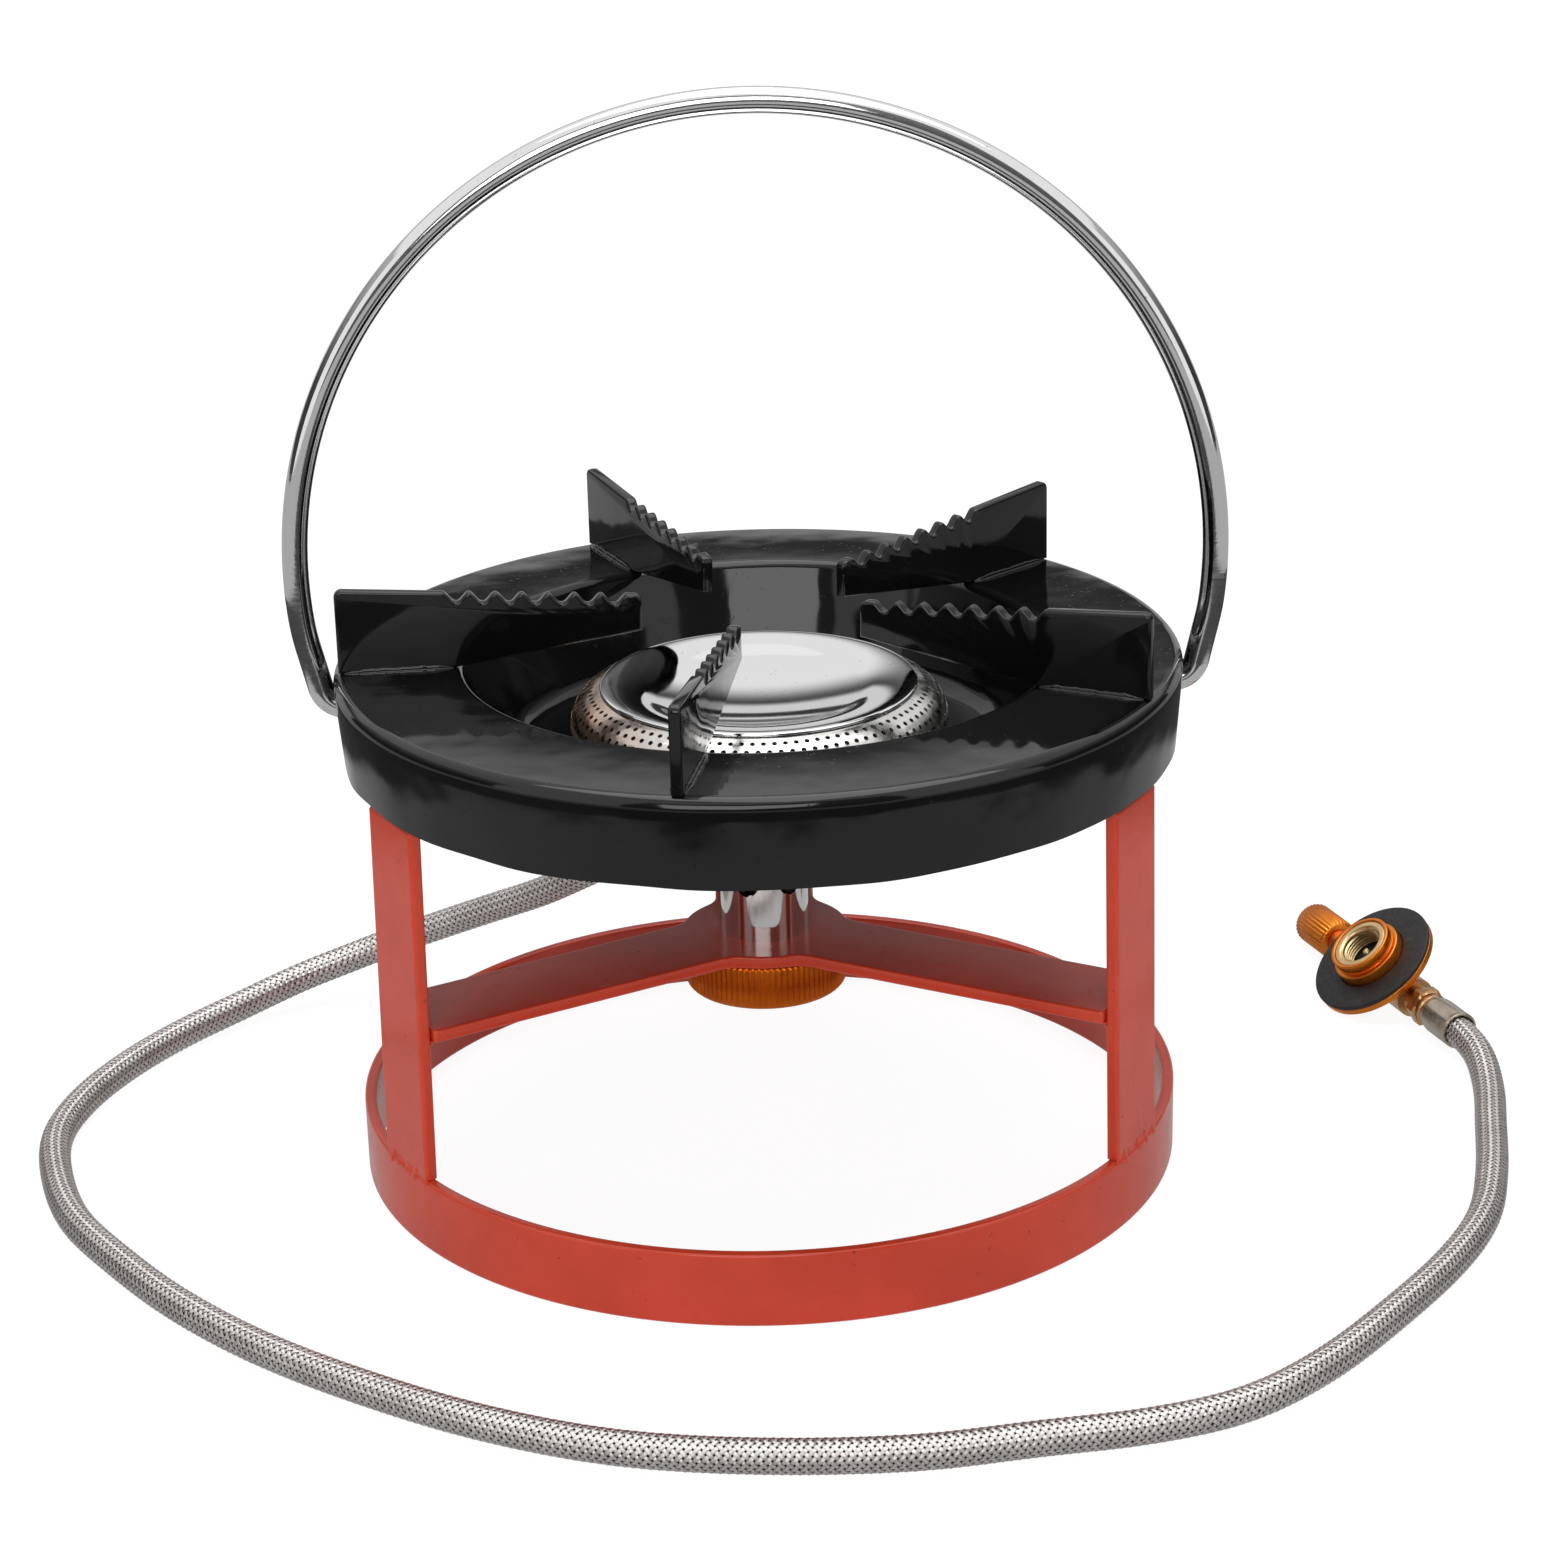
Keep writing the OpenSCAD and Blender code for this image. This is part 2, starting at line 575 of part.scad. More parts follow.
module adapter_seal() color(rubber) at_disc() difference() {
  translate([0, 0, seat_z]) cylinder(h = seal_top - seat_z, r = thread_r - 0.1, $fn = 36);
  translate([0, 0, seat_z - 1]) cylinder(h = 4, r = pin_r + 0.5, $fn = 16);
}

module valve_pin() color(brass) at_disc() rotate_extrude($fn = 20)
  polygon([[0, disc_base], [pin_r, disc_base], [pin_r, seal_top + 2.4],
    [pin_r * 0.7, seal_top + 2.9], [0, seal_top + 3.1]]);

// Gland nut round the spindle, between the valve's body and its knob
module valve_gland() color(orange) at_valve(-gland_end) rotate([0, 90, 0]) difference() {
  union() {
    cylinder(h = gland_end - body_back, r = gland_r - 0.9, $fn = 32);
    translate([0, 0, 4]) cylinder(h = gland_end - body_back - 4, r = gland_r, $fn = 32);
  }
  translate([0, 0, -1]) cylinder(h = gland_end, r = stem_r + run_fit, $fn = 24);
  translate([0, 0, gland_end - body_back - packing_l]) cylinder(h = gland_end, r = packing_r, $fn = 32);
}

module stem_packing() color(rubber) at_valve(-body_back - packing_l) rotate([0, 90, 0])
  difference() {
    cylinder(h = packing_l, r = packing_r - 0.05, $fn = 32);
    translate([0, 0, -1]) cylinder(h = packing_l + 2, r = stem_r + run_fit, $fn = 24);
  }

module valve_stem() color(brass) at_valve(-(knob_face + knob_l - 3)) rotate([0, 90, 0])
  cylinder(h = knob_face + knob_l - 3 - stem_in, r = stem_r, $fn = 24);

module valve_knob() color(orange) at_valve(-(knob_face + knob_l)) rotate([0, 90, 0]) difference() {
  ribbed(knob_r, knob_l, knob_ribs, rib_depth, 0.8);
  translate([0, 0, 3]) cylinder(h = knob_l, r = stem_r, $fn = 24);
}

module outlet_nut() color(brass) at_valve(outlet_hex) hose_nut();
module outlet_ferrule() color(nickel) at_valve(outlet_ferrule) hose_ferrule();

// Free run of the hose: a smooth curve through hand-set points, from the inlet to the adapter
hose_ends = [[inlet_hose * cos(inlet_turn), inlet_hose * sin(inlet_turn), inlet_z],
  [valve_x + outlet_hose * cos(valve_turn), valve_y + outlet_hose * sin(valve_turn), valve_z]];
floor_z = hose_r + 0.1;
hose_mid = [[-12, 42.5, 66], [-16.5, 50.5, 64.5], [-22, 57, 61.5], [-29, 62, 57.5],
  [-38, 66.5, 52], [-48, 71.5, 45.5], [-60, 79, 37.5], [-74, 87, 30], [-88, 93.5, 23],
  [-102, 97, 17], [-116, 96.5, 12], [-130, 91.5, 8.5], [-146, 80, 5.5], [-160, 66, floor_z],
  [-172, 47, floor_z], [-181, 26, floor_z], [-185, 4, floor_z], [-182, -19, floor_z],
  [-174, -44, floor_z], [-160, -67, floor_z], [-143, -90, floor_z], [-122, -112, floor_z],
  [-97, -132, floor_z], [-69, -150, floor_z], [-39, -163, floor_z], [-7, -169, floor_z],
  [26, -170, floor_z], [54, -166, floor_z], [80, -162, floor_z], [102, -154, floor_z],
  [122, -138, floor_z], [142, -115, floor_z], [160, -91, floor_z], [172, -69, floor_z],
  [179, -45, floor_z], [184, -20, floor_z], [188, 2, 4.5], [189, 21, 5.7]];
// A point inside each ferrule sets the direction in which the hose leaves it
hose_lead = 10;
hose_pts = concat([hose_ends[0] - hose_lead * flat_dir(inlet_turn), hose_ends[0]], hose_mid,
  [hose_ends[1], hose_ends[1] - hose_lead * flat_dir(valve_turn)]);
hose_spans = len(hose_pts) - 3;
function spline(i, t) = let (a = hose_pts[i], b = hose_pts[i + 1], c = hose_pts[i + 2],
    d = hose_pts[i + 3])
  0.5 * (2 * b + (c - a) * t + (2 * a - 5 * b + 4 * c - d) * t * t
    + (3 * b - a - 3 * c + d) * t * t * t);
hose_steps = 2;
hose_run = concat([for (i = [0:hose_spans - 1], k = [0:hose_steps - 1]) spline(i, k / hose_steps)],
  [hose_ends[1]]);
function run_dir(k) = k == 0 ? flat_dir(inlet_turn)
  : k == len(hose_run) - 1 ? -flat_dir(valve_turn)
  : unit(hose_run[k + 1] - hose_run[k - 1]);
hose_sides = 10;
function hose_ring(k) = let (d = run_dir(k), s = unit(cross([0, 0, 1], d)), u = cross(d, s))
  [for (j = [0:hose_sides - 1]) let (a = 360 * j / hose_sides)
    hose_run[k] + hose_r * (cos(a) * s + sin(a) * u)];
module gas_hose() color(braid) {
  m = len(hose_run);
  polyhedron(
    points = [for (k = [0:m - 1]) each hose_ring(k)],
    faces = concat(
      [[for (j = [0:hose_sides - 1]) j]],
      [for (k = [0:m - 2], j = [0:hose_sides - 1]) let (a = k * hose_sides + j,
        b = k * hose_sides + (j + 1) % hose_sides) [a, a + hose_sides, b + hose_sides]],
      [for (k = [0:m - 2], j = [0:hose_sides - 1]) let (a = k * hose_sides + j,
        b = k * hose_sides + (j + 1) % hose_sides) [a, b + hose_sides, b]],
      [[for (j = [hose_sides - 1:-1:0]) (m - 1) * hose_sides + j]]));
}

base_ring();
leg(0);  // leg_rear
leg(1);  // leg_left
leg(2);  // leg_right
bracket();
drip_pan();
pot_support(0);  // pot_support_front
pot_support(1);  // pot_support_right
pot_support(2);  // pot_support_back_right
pot_support(3);  // pot_support_back_left
pot_support(4);  // pot_support_left
mixing_tube();
tube_foot();
jet_holder();
jet();
burner_bowl();
port_ring();
burner_cap();
clamp_nut();
bail();
inlet_nut();
inlet_ferrule();
gas_hose();
outlet_ferrule();
outlet_nut();
valve_body();
adapter_disc();
adapter_pad();
thread_insert();
adapter_seal();
valve_pin();
valve_gland();
stem_packing();
valve_stem();
valve_knob();
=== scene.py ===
"""Looks of the portable gas burner stand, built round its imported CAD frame.

Sizes are in mm, and MM turns them into Blender's metres. The camera and the studio are in metres.
"""

from math import acos, atan2, cos, degrees, hypot, pi, radians, sin, sqrt, tan

import bmesh
import bpy
from mathutils import Matrix, Vector


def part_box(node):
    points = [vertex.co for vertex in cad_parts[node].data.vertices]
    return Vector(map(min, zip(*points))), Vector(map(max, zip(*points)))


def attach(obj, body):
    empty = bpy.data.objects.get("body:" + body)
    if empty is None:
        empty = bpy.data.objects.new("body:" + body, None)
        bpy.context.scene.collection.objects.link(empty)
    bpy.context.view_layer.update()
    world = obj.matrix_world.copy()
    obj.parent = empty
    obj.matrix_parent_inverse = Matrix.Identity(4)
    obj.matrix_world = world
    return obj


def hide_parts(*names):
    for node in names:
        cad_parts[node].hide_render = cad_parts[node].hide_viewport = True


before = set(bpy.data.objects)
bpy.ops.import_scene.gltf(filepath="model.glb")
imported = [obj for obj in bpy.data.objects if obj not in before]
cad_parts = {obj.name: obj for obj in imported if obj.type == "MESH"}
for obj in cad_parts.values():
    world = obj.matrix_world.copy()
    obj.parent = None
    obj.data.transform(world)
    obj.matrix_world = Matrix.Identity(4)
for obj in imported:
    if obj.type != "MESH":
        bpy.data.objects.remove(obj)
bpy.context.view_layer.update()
MM = 0.001
TAU = 2 * pi
UP = Vector((0, 0, 1))


def linked(name, data):
    """A new object in the scene"""
    obj = bpy.data.objects.new(name, data)
    bpy.context.collection.objects.link(obj)
    return obj


# ---- camera

CAMERA_AT = Vector((-0.016335, -0.885306, 0.431096))
CAMERA_TO = Vector((0.004587, -0.000108, 0.097933))
CAMERA_ROLL = radians(-1.4466)
CAMERA_LENS = 86.99
CAMERA_SENSOR = 36
CAMERA_CLIP = (0.01, 50)


def make_camera():
    forward = (CAMERA_TO - CAMERA_AT).normalized()
    level = forward.cross(UP).normalized()
    upright = level.cross(forward)
    right = level * cos(CAMERA_ROLL) + upright * sin(CAMERA_ROLL)
    up = upright * cos(CAMERA_ROLL) - level * sin(CAMERA_ROLL)
    data = bpy.data.cameras.new("camera")
    data.lens = CAMERA_LENS
    data.sensor_width = CAMERA_SENSOR
    data.clip_start, data.clip_end = CAMERA_CLIP
    camera = linked("camera", data)
    turn = Matrix((right, up, -forward)).transposed().to_4x4()
    camera.matrix_world = Matrix.Translation(CAMERA_AT) @ turn
    bpy.context.scene.camera = camera


make_camera()


# ---- node helpers

class Graph:
    """A node tree, whose new nodes take values or other nodes' sockets as their inputs."""

    def __init__(self, tree):
        self.nodes = tree.nodes
        self.links = tree.links

    def node(self, kind, inputs, out=0, **settings):
        """Adds a node and hands back one of its outputs"""
        node = self.nodes.new(kind)
        for key, value in settings.items():
            setattr(node, key, value)
        for key, value in inputs.items():
            if isinstance(value, bpy.types.NodeSocket):
                self.links.new(value, node.inputs[key])
            else:
                node.inputs[key].default_value = value
        return node.outputs[out] if node.outputs else None

    def math(self, operation, a, b=0.0):
        return self.node("ShaderNodeMath", {0: a, 1: b}, operation=operation)

    def ramp(self, fac, low, high, start=0.0, end=1.0, **settings):
        inputs = {"Value": fac, "From Min": low, "From Max": high, "To Min": start, "To Max": end}
        return self.node("ShaderNodeMapRange", inputs, **settings)


class Shader(Graph):
    """A principled material whose inputs are set one by one, by value or by node."""

    def __init__(self, name, **inputs):
        self.material = bpy.data.materials.new(name)
        self.material.use_nodes = True
        super().__init__(self.material.node_tree)
        self.bsdf = self.nodes["Principled BSDF"]
        self.place = self.node("ShaderNodeTexCoord", {}, "Object")
        for key, value in inputs.items():
            self.bsdf.inputs[key.replace("_", " ")].default_value = value

    def noise(self, scale, detail, place=None):
        inputs = {"Vector": place or self.place, "Scale": scale, "Detail": detail}
        return self.node("ShaderNodeTexNoise", inputs)

    def patches(self, scale, detail, low, high, start=0.0, end=1.0):
        """A noise whose low to high runs from start to end"""
        return self.ramp(self.noise(scale, detail), low, high, start, end)

    def stretched(self, scale):
        return self.node("ShaderNodeMapping", {"Vector": self.place, "Scale": scale})

    def mix(self, fac, a, b):
        return self.node("ShaderNodeMix", {0: fac, 6: a, 7: b}, 2, data_type="RGBA")

    def bump(self, height, depth, strength, after=None):
        """depth is the height in mm that a full step of the height socket stands for"""
        inputs = {"Height": height, "Distance": depth * MM, "Strength": strength}
        if after:
            inputs["Normal"] = after
        return self.node("ShaderNodeBump", inputs)

    def finish(self, color, roughness=None, normal=None):
        """Links the sockets to the shader's own, and hands back the material"""
        for key, socket in (("Base Color", color), ("Roughness", roughness), ("Normal", normal)):
            if socket:
                self.links.new(socket, self.bsdf.inputs[key])
        return self.material


def rgb(r, g, b):
    return (r, g, b, 1.0)


# ---- materials

def frame_paint():
    s = Shader("frame_paint", IOR=1.49)
    color = s.mix(s.patches(28, 4, 0.35, 0.68), rgb(0.70, 0.062, 0.026), rgb(0.58, 0.046, 0.018))
    color = s.mix(s.patches(520, 2, 0.72, 0.78), color, rgb(0.20, 0.018, 0.012))
    peel = s.bump(s.noise(300, 1), 0.02, 0.4)
    pimples = s.bump(s.patches(240, 1, 0.66, 0.78), 0.07, 0.5, peel)
    waves = s.bump(s.noise(40, 2), 0.30, 0.35, pimples)
    return s.finish(color, s.patches(110, 2, 0.3, 0.7, 0.16, 0.24), waves)


def enamel():
    s = Shader("enamel", IOR=1.46)
    color = s.mix(s.patches(20, 4, 0.4, 0.65), rgb(0.0040, 0.0040, 0.0043), rgb(0.0065, 0.0063, 0.0065))
    dust = s.bump(s.patches(900, 1, 0.72, 0.80), 0.04, 0.4)
    waves = s.bump(s.noise(34, 2), 1.0, 0.45, s.bump(s.noise(150, 1), 0.05, 0.6, dust))
    return s.finish(color, s.patches(90, 4, 0.35, 0.7, 0.05, 0.10), waves)


def chrome(name, base, roughness, brush):
    """Bright plated steel with fine drawing marks along the brush scales"""
    s = Shader(name, Metallic=1.0)
    marks = s.noise(1.0, 3, s.stretched(brush))
    color = s.mix(s.patches(700, 2, 0.70, 0.78), rgb(*base), rgb(*[c * 0.45 for c in base]))
    rough = s.ramp(marks, 0.3, 0.75, roughness * 0.7, roughness * 1.7)
    return s.finish(color, rough, s.bump(marks, 0.03, 0.25))


def burner_steel():
    """Steel that has been warmed: straw and copper tints on the side away from +X"""
    s = Shader("burner_steel", Metallic=1.0)
    side = s.node("ShaderNodeSeparateXYZ", {0: s.place}, "X")
    warm = s.ramp(s.math("ADD", side, s.math("MULTIPLY", s.noise(60, 3), 0.03)), 0.0, -0.045)
    tint = s.mix(warm, rgb(0.66, 0.65, 0.63), rgb(0.50, 0.27, 0.15))
    sooty = s.mix(s.patches(240, 4, 0.60, 0.78), tint, rgb(0.12, 0.10, 0.09))
    return s.finish(sooty, s.patches(300, 3, 0.3, 0.7, 0.12, 0.3), s.bump(s.noise(500, 2), 0.04, 0.4))


def speckled(name, light, dark, tone, rough, grain, **inputs):
    """A colour, a roughness and a grain that each follow a noise of their own.

    tone is the colour's scale, detail and range, rough is a scale, a detail, and the smoothest and the
    roughest value, and grain is a scale, a height in mm and a strength.
    """
    s = Shader(name, **inputs)
    scale, detail, smoothest, roughest = rough
    fine, height, strength = grain
    return s.finish(s.mix(s.patches(*tone), rgb(*light), rgb(*dark)),
                    s.patches(scale, detail, 0.3, 0.7, smoothest, roughest),
                    s.bump(s.noise(fine, 2), height, strength))


def anodised(name, light, dark):
    tone, rough, grain = (130, 3, 0.35, 0.7), (700, 2, 0.27, 0.4), (1600, 0.02, 0.4)
    return speckled(name, light, dark, tone, rough, grain, Metallic=1.0)


def turned_metal(name, light, dark, shine):
    """Turned brass or nickel plate, with a little tarnish in the noise's hollows"""
    tone, rough, grain = (260, 4, 0.42, 0.72), (420, 3, shine * 0.8, shine * 1.5), (1200, 0.03, 0.4)
    return speckled(name, light, dark, tone, rough, grain, Metallic=1.0)


def rubber():
    tone, rough, grain = (340, 4, 0.55, 0.85), (600, 2, 0.5, 0.68), (1500, 0.05, 0.6)
    light, dark = (0.011, 0.010, 0.010), (0.032, 0.030, 0.029)
    return speckled("black_rubber", light, dark, tone, rough, grain, IOR=1.45)


def braid_wire():
    """Bands of fine steel wires: the band's own map runs 0 to 1 across it. The dark lines between the wires
    and along the band's edges are painted shade
    """
    s = Shader("braid_wire", Metallic=1.0)
    across = s.node("ShaderNodeSeparateXYZ", {0: s.node("ShaderNodeUVMap", {})}, "X")
    wires = s.math("ABSOLUTE", s.math("SINE", s.math("MULTIPLY", across, WIRES * pi)))
    steel = s.mix(s.patches(120, 4, 0.4, 0.75), rgb(0.76, 0.72, 0.70), rgb(0.62, 0.58, 0.56))
    # painted shade in the grooves between the wires
    groove_shaded = s.mix(s.ramp(wires, 0.0, 0.5), rgb(0.44, 0.41, 0.40), steel)
    off_middle = s.math("ABSOLUTE", s.math("SUBTRACT", across, 0.5))
    # painted shade along the band's edges, where one band tucks under the next
    color = s.mix(s.ramp(off_middle, 0.36, 0.48), groove_shaded, rgb(0.13, 0.12, 0.115))
    return s.finish(color, s.patches(500, 2, 0.3, 0.7, 0.26, 0.38), s.bump(wires, 0.05, 0.6))


def liner():
    s = Shader("hose_liner", Roughness=0.7)
    # Near-black, darker than the other rubber: partly the liner's own black and partly painted shade for
    # the depth of the gaps in the braid
    return s.finish(s.mix(s.noise(300, 3), rgb(0.006, 0.006, 0.006), rgb(0.014, 0.014, 0.014)))


WIRES = 5
PAINT = frame_paint()
ENAMEL = enamel()
ROD = chrome("chrome_rod", (0.74, 0.74, 0.75), 0.07, (60, 900, 900))
CAP = chrome("cap_steel", (0.80, 0.80, 0.81), 0.045, (160, 160, 160))
TUBE = chrome("tube_steel", (0.76, 0.75, 0.74), 0.07, (900, 900, 60))
STEEL = burner_steel()
ORANGE = anodised("orange_anodised", (0.76, 0.235, 0.028), (0.64, 0.17, 0.018))
# A darker copy of the orange anodising: painted shade for the hand nut, which sits in shadow under the
# bracket
SHADED_ORANGE = anodised("orange_anodised_painted_shade", (0.66, 0.145, 0.012), (0.52, 0.095, 0.008))
BRASS = turned_metal("brass", (0.66, 0.48, 0.25), (0.54, 0.38, 0.19), 0.3)
# A much darker copy of the brass: painted shade for the inside of the insert's threaded bore
SHADED_BORE_BRASS = turned_metal("brass_painted_bore_shade", (0.22, 0.15, 0.07), (0.14, 0.09, 0.04), 0.4)
BRONZE = turned_metal("fitting_brass", (0.56, 0.34, 0.16), (0.44, 0.26, 0.12), 0.26)
NICKEL = turned_metal("nickel", (0.44, 0.39, 0.32), (0.32, 0.27, 0.21), 0.22)
RUBBER = rubber()
WIRE = braid_wire()
LINER = liner()

NODE_LOOKS = {
    PAINT: ["base_ring", "leg_left", "leg_right", "leg_rear", "bracket"],
    ENAMEL: ["drip_pan", "pot_support_front", "pot_support_right", "pot_support_back_right",
             "pot_support_back_left", "pot_support_left"],
    ROD: ["bail"],
    CAP: ["burner_cap"],
    TUBE: ["mixing_tube"],
    STEEL: ["burner_bowl", "port_ring"],
    ORANGE: ["clamp_nut", "adapter_disc", "valve_gland", "valve_knob"],
    BRASS: ["thread_insert", "valve_pin", "tube_foot", "jet_holder", "jet", "valve_stem"],
    BRONZE: ["valve_body", "inlet_nut", "outlet_nut"],
    NICKEL: ["inlet_ferrule", "outlet_ferrule"],
    RUBBER: ["adapter_pad", "adapter_seal", "stem_packing", "gas_hose"],
}


def dress_nodes():
    for material, names in NODE_LOOKS.items():
        for name in names:
            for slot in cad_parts[name].material_slots:
                slot.material = material


dress_nodes()


# ---- mesh helpers

def weld(mesh):
    """Joins points that meet, as on a lathe's axis, and turns every face outwards"""
    shape = bmesh.new()
    shape.from_mesh(mesh)
    bmesh.ops.remove_doubles(shape, verts=shape.verts, dist=0.0005 * MM)
    bmesh.ops.delete(shape, geom=[v for v in shape.verts if not v.link_faces], context="VERTS")
    bmesh.ops.recalc_face_normals(shape, faces=shape.faces)
    shape.to_mesh(mesh)
    shape.free()


def piece(name, points, faces, materials, body, sharp=40, face_materials=None, uvs=None):
    """A new mesh object that rides on a body; uvs is one (u, v) for each point"""
    mesh = bpy.data.meshes.new(name)
    mesh.from_pydata([tuple(p) for p in points], [], faces)
    if uvs is None:
        weld(mesh)
    for material in materials:
        mesh.materials.append(material)
    if face_materials:
        mesh.polygons.foreach_set("material_index", face_materials)
    if uvs:
        layer = mesh.uv_layers.new(name="UVMap")
        for loop in mesh.loops:
            layer.data[loop.index].uv = uvs[loop.vertex_index]
    mesh.validate()
    mesh.shade_smooth()
    mesh.set_sharp_from_angle(angle=radians(sharp))
    obj = linked(name, mesh)
    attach(obj, body)
    return obj


def strip(one, other):
    """Faces between two closed loops of as many points"""
    n = len(one)
    return [(one[j], one[(j + 1) % n], other[(j + 1) % n], other[j]) for j in range(n)]


def loft(rings, joined=False):
    """Points and faces of a skin over equal rings, with closed ends or with its ends joined round a bore"""
    n = len(rings[0])
    loops = [range(k * n, (k + 1) * n) for k in range(len(rings))]
    pairs = zip(loops, loops[1:] + loops[:1]) if joined else zip(loops, loops[1:])
    faces = [face for one, other in pairs for face in strip(one, other)]
    if not joined:
        faces += [tuple(reversed(loops[0])), tuple(loops[-1])]
    return [p for ring in rings for p in ring], faces


def arc(x, y, r, start, end, steps):
    """Points on an arc, from one bearing to another, in degrees"""
    turns = [radians(start + (end - start) * k / steps) for k in range(steps + 1)]
    return [(x + r * cos(a), y + r * sin(a)) for a in turns]


def soften(outline, r, steps=3):
    """A closed outline with every corner rounded by up to r"""
    result = []
    for k, corner in enumerate(outline):
        corner = Vector(corner)
        before = Vector(outline[k - 1]) - corner
        after = Vector(outline[(k + 1) % len(outline)]) - corner
        a = before.normalized() * min(r, 0.45 * before.length)
        b = after.normalized() * min(r, 0.45 * after.length)
        for j in range(steps + 1):
            t = j / steps
            result.append(tuple(corner + a * (1 - t) ** 2 + b * t ** 2))
    return result


def held(outline, gap=0.15):
    """The outline with points near both ends of each long side, which keep its shading flat"""
    result = []
    for k, here in enumerate(outline):
        here, after = Vector(here), Vector(outline[(k + 1) % len(outline)])
        result.append(tuple(here))
        run = after - here
        if run.length > 5 * gap:
            step = run.normalized() * gap
            result += [tuple(here + step), tuple(after - step)]
    return result


def around(r, a, z):
    """The point at radius r, bearing a in radians, and height z"""
    return Vector((r * cos(a), r * sin(a), z))


def bearings(count):
    """Even bearings round a full turn, in radians"""
    return [TAU * j / count for j in range(count)]


def polar(bearing):
    """The level direction of a bearing in degrees, and the one to its left"""
    a = radians(bearing)
    return around(1, a, 0), around(1, a + pi / 2, 0)


def lathe(outline, count, place=Matrix.Identity(4)):
    """Points and faces of an outline in mm, as (radius, height), turned round the Z axis of place"""
    return loft([[place @ (around(r, a, z) * MM) for r, z in outline] for a in bearings(count)], True)


def turned(stations, count, shape, place=Matrix.Identity(4)):
    """The same for a side that isn't round: shape makes a radius of a bearing and a station's factors"""
    return loft([[place @ (around(shape(a, *factors), a, z) * MM) for a in bearings(count)]
                 for z, *factors in stations], True)


def stand_in(name, skin, materials, node, sharp=40, body="stand"):
    """A new piece, of (points, faces), that takes the place of a CAD node"""
    obj = piece(name, *skin, materials, body, sharp)
    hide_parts(node)
    return obj


def far_corner(node):
    """The high corner of a CAD node's box, in mm"""
    return [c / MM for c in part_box(node)[1]]


# ---- hose

HOSE_FLOOR = 4.2
INLET_TURN = radians(105)
INLET_REACH = 35.1
INLET_Z = 66.5
INLET_DIR = around(1, INLET_TURN, 0)
INLET_END = around(INLET_REACH, INLET_TURN, INLET_Z)
VALVE_TURN = radians(-71.2)
VALVE_DIR = around(1, VALVE_TURN, 0)
VALVE_AT = Vector((174.4, 71.2, 6.017))
OUTLET_REACH = 35.9
OUTLET_END = VALVE_AT + OUTLET_REACH * VALVE_DIR
HOSE_LEAD = 10
HOSE_DOWN = [
    (-12, 42.5, 66), (-16.5, 50.5, 64.5), (-22, 57, 61.5), (-29, 62, 57.5),
    (-38, 66.5, 52), (-48, 71.5, 45.5), (-60, 79, 37.5), (-74, 87, 30), (-88, 93.5, 23),
    (-102, 97, 17), (-116, 96.5, 12), (-130, 91.5, 8.5), (-146, 80, 5.5)]
HOSE_LYING = [
    (-160, 66), (-172, 47), (-181, 26), (-185, 4), (-182, -19), (-174, -44), (-160, -67), (-143, -90),
    (-122, -112), (-97, -132), (-69, -150), (-39, -163), (-7, -169), (26, -170), (54, -166), (80, -162),
    (102, -154), (122, -138), (142, -115), (160, -91), (172, -69), (179, -45), (184, -20)]
HOSE_UP = [(188, 2, 4.5), (189, 21, 5.7)]


def spline(a, b, c, d, t):
    return 0.5 * (2 * b + (c - a) * t + (2 * a - 5 * b + 4 * c - d) * t ** 2
                  + (3 * b - a - 3 * c + d) * t ** 3)


def hose_path(steps):
    """The hose's centre line in metres, from the inlet's ferrule to the outlet's"""
    middle = HOSE_DOWN + [(x, y, HOSE_FLOOR) for x, y in HOSE_LYING] + HOSE_UP
    points = [INLET_END - HOSE_LEAD * INLET_DIR, INLET_END] + [Vector(p) for p in middle]
    points += [OUTLET_END, OUTLET_END - HOSE_LEAD * VALVE_DIR]
    path = [spline(*points[i:i + 4], k / steps) for i in range(len(points) - 3) for k in range(steps)]
    return [p * MM for p in path + [OUTLET_END]]


def even_frames(path, step):
    """Points at even distances along the path, each with its direction and a pair of normals"""
    frames = []
    side = UP
    left = 0.0
    for a, b in zip(path, path[1:]):
        run = (b - a).length
        ahead = (b - a).normalized()
        while left < run:
            side = (side - ahead * side.dot(ahead)).normalized()
            frames.append([a + ahead * left, ahead, side, None])
            left += step
        left -= run
    for k, item in enumerate(frames):
        before = frames[max(k - 1, 0)][0]
        after = frames[min(k + 1, len(frames) - 1)][0]
        item[1] = (after - before).normalized()
        item[2] = (item[2] - item[1] * item[2].dot(item[1])).normalized()
        item[3] = item[1].cross(item[2])
    return frames


CARRIERS = 12
BRAID_LEAD = 23 * MM
BRAID_STEP = BRAID_LEAD / (4 * CARRIERS)
BRAID_MID = 3.86 * MM
WEAVE = 0.14 * MM
BAND_W = 0.97 * MM
CROWN = 0.12 * MM
LINER_R = 3.5 * MM
LINER_SIDES = 16
LINER_STEP = 5
WIRE_MARKS = 400


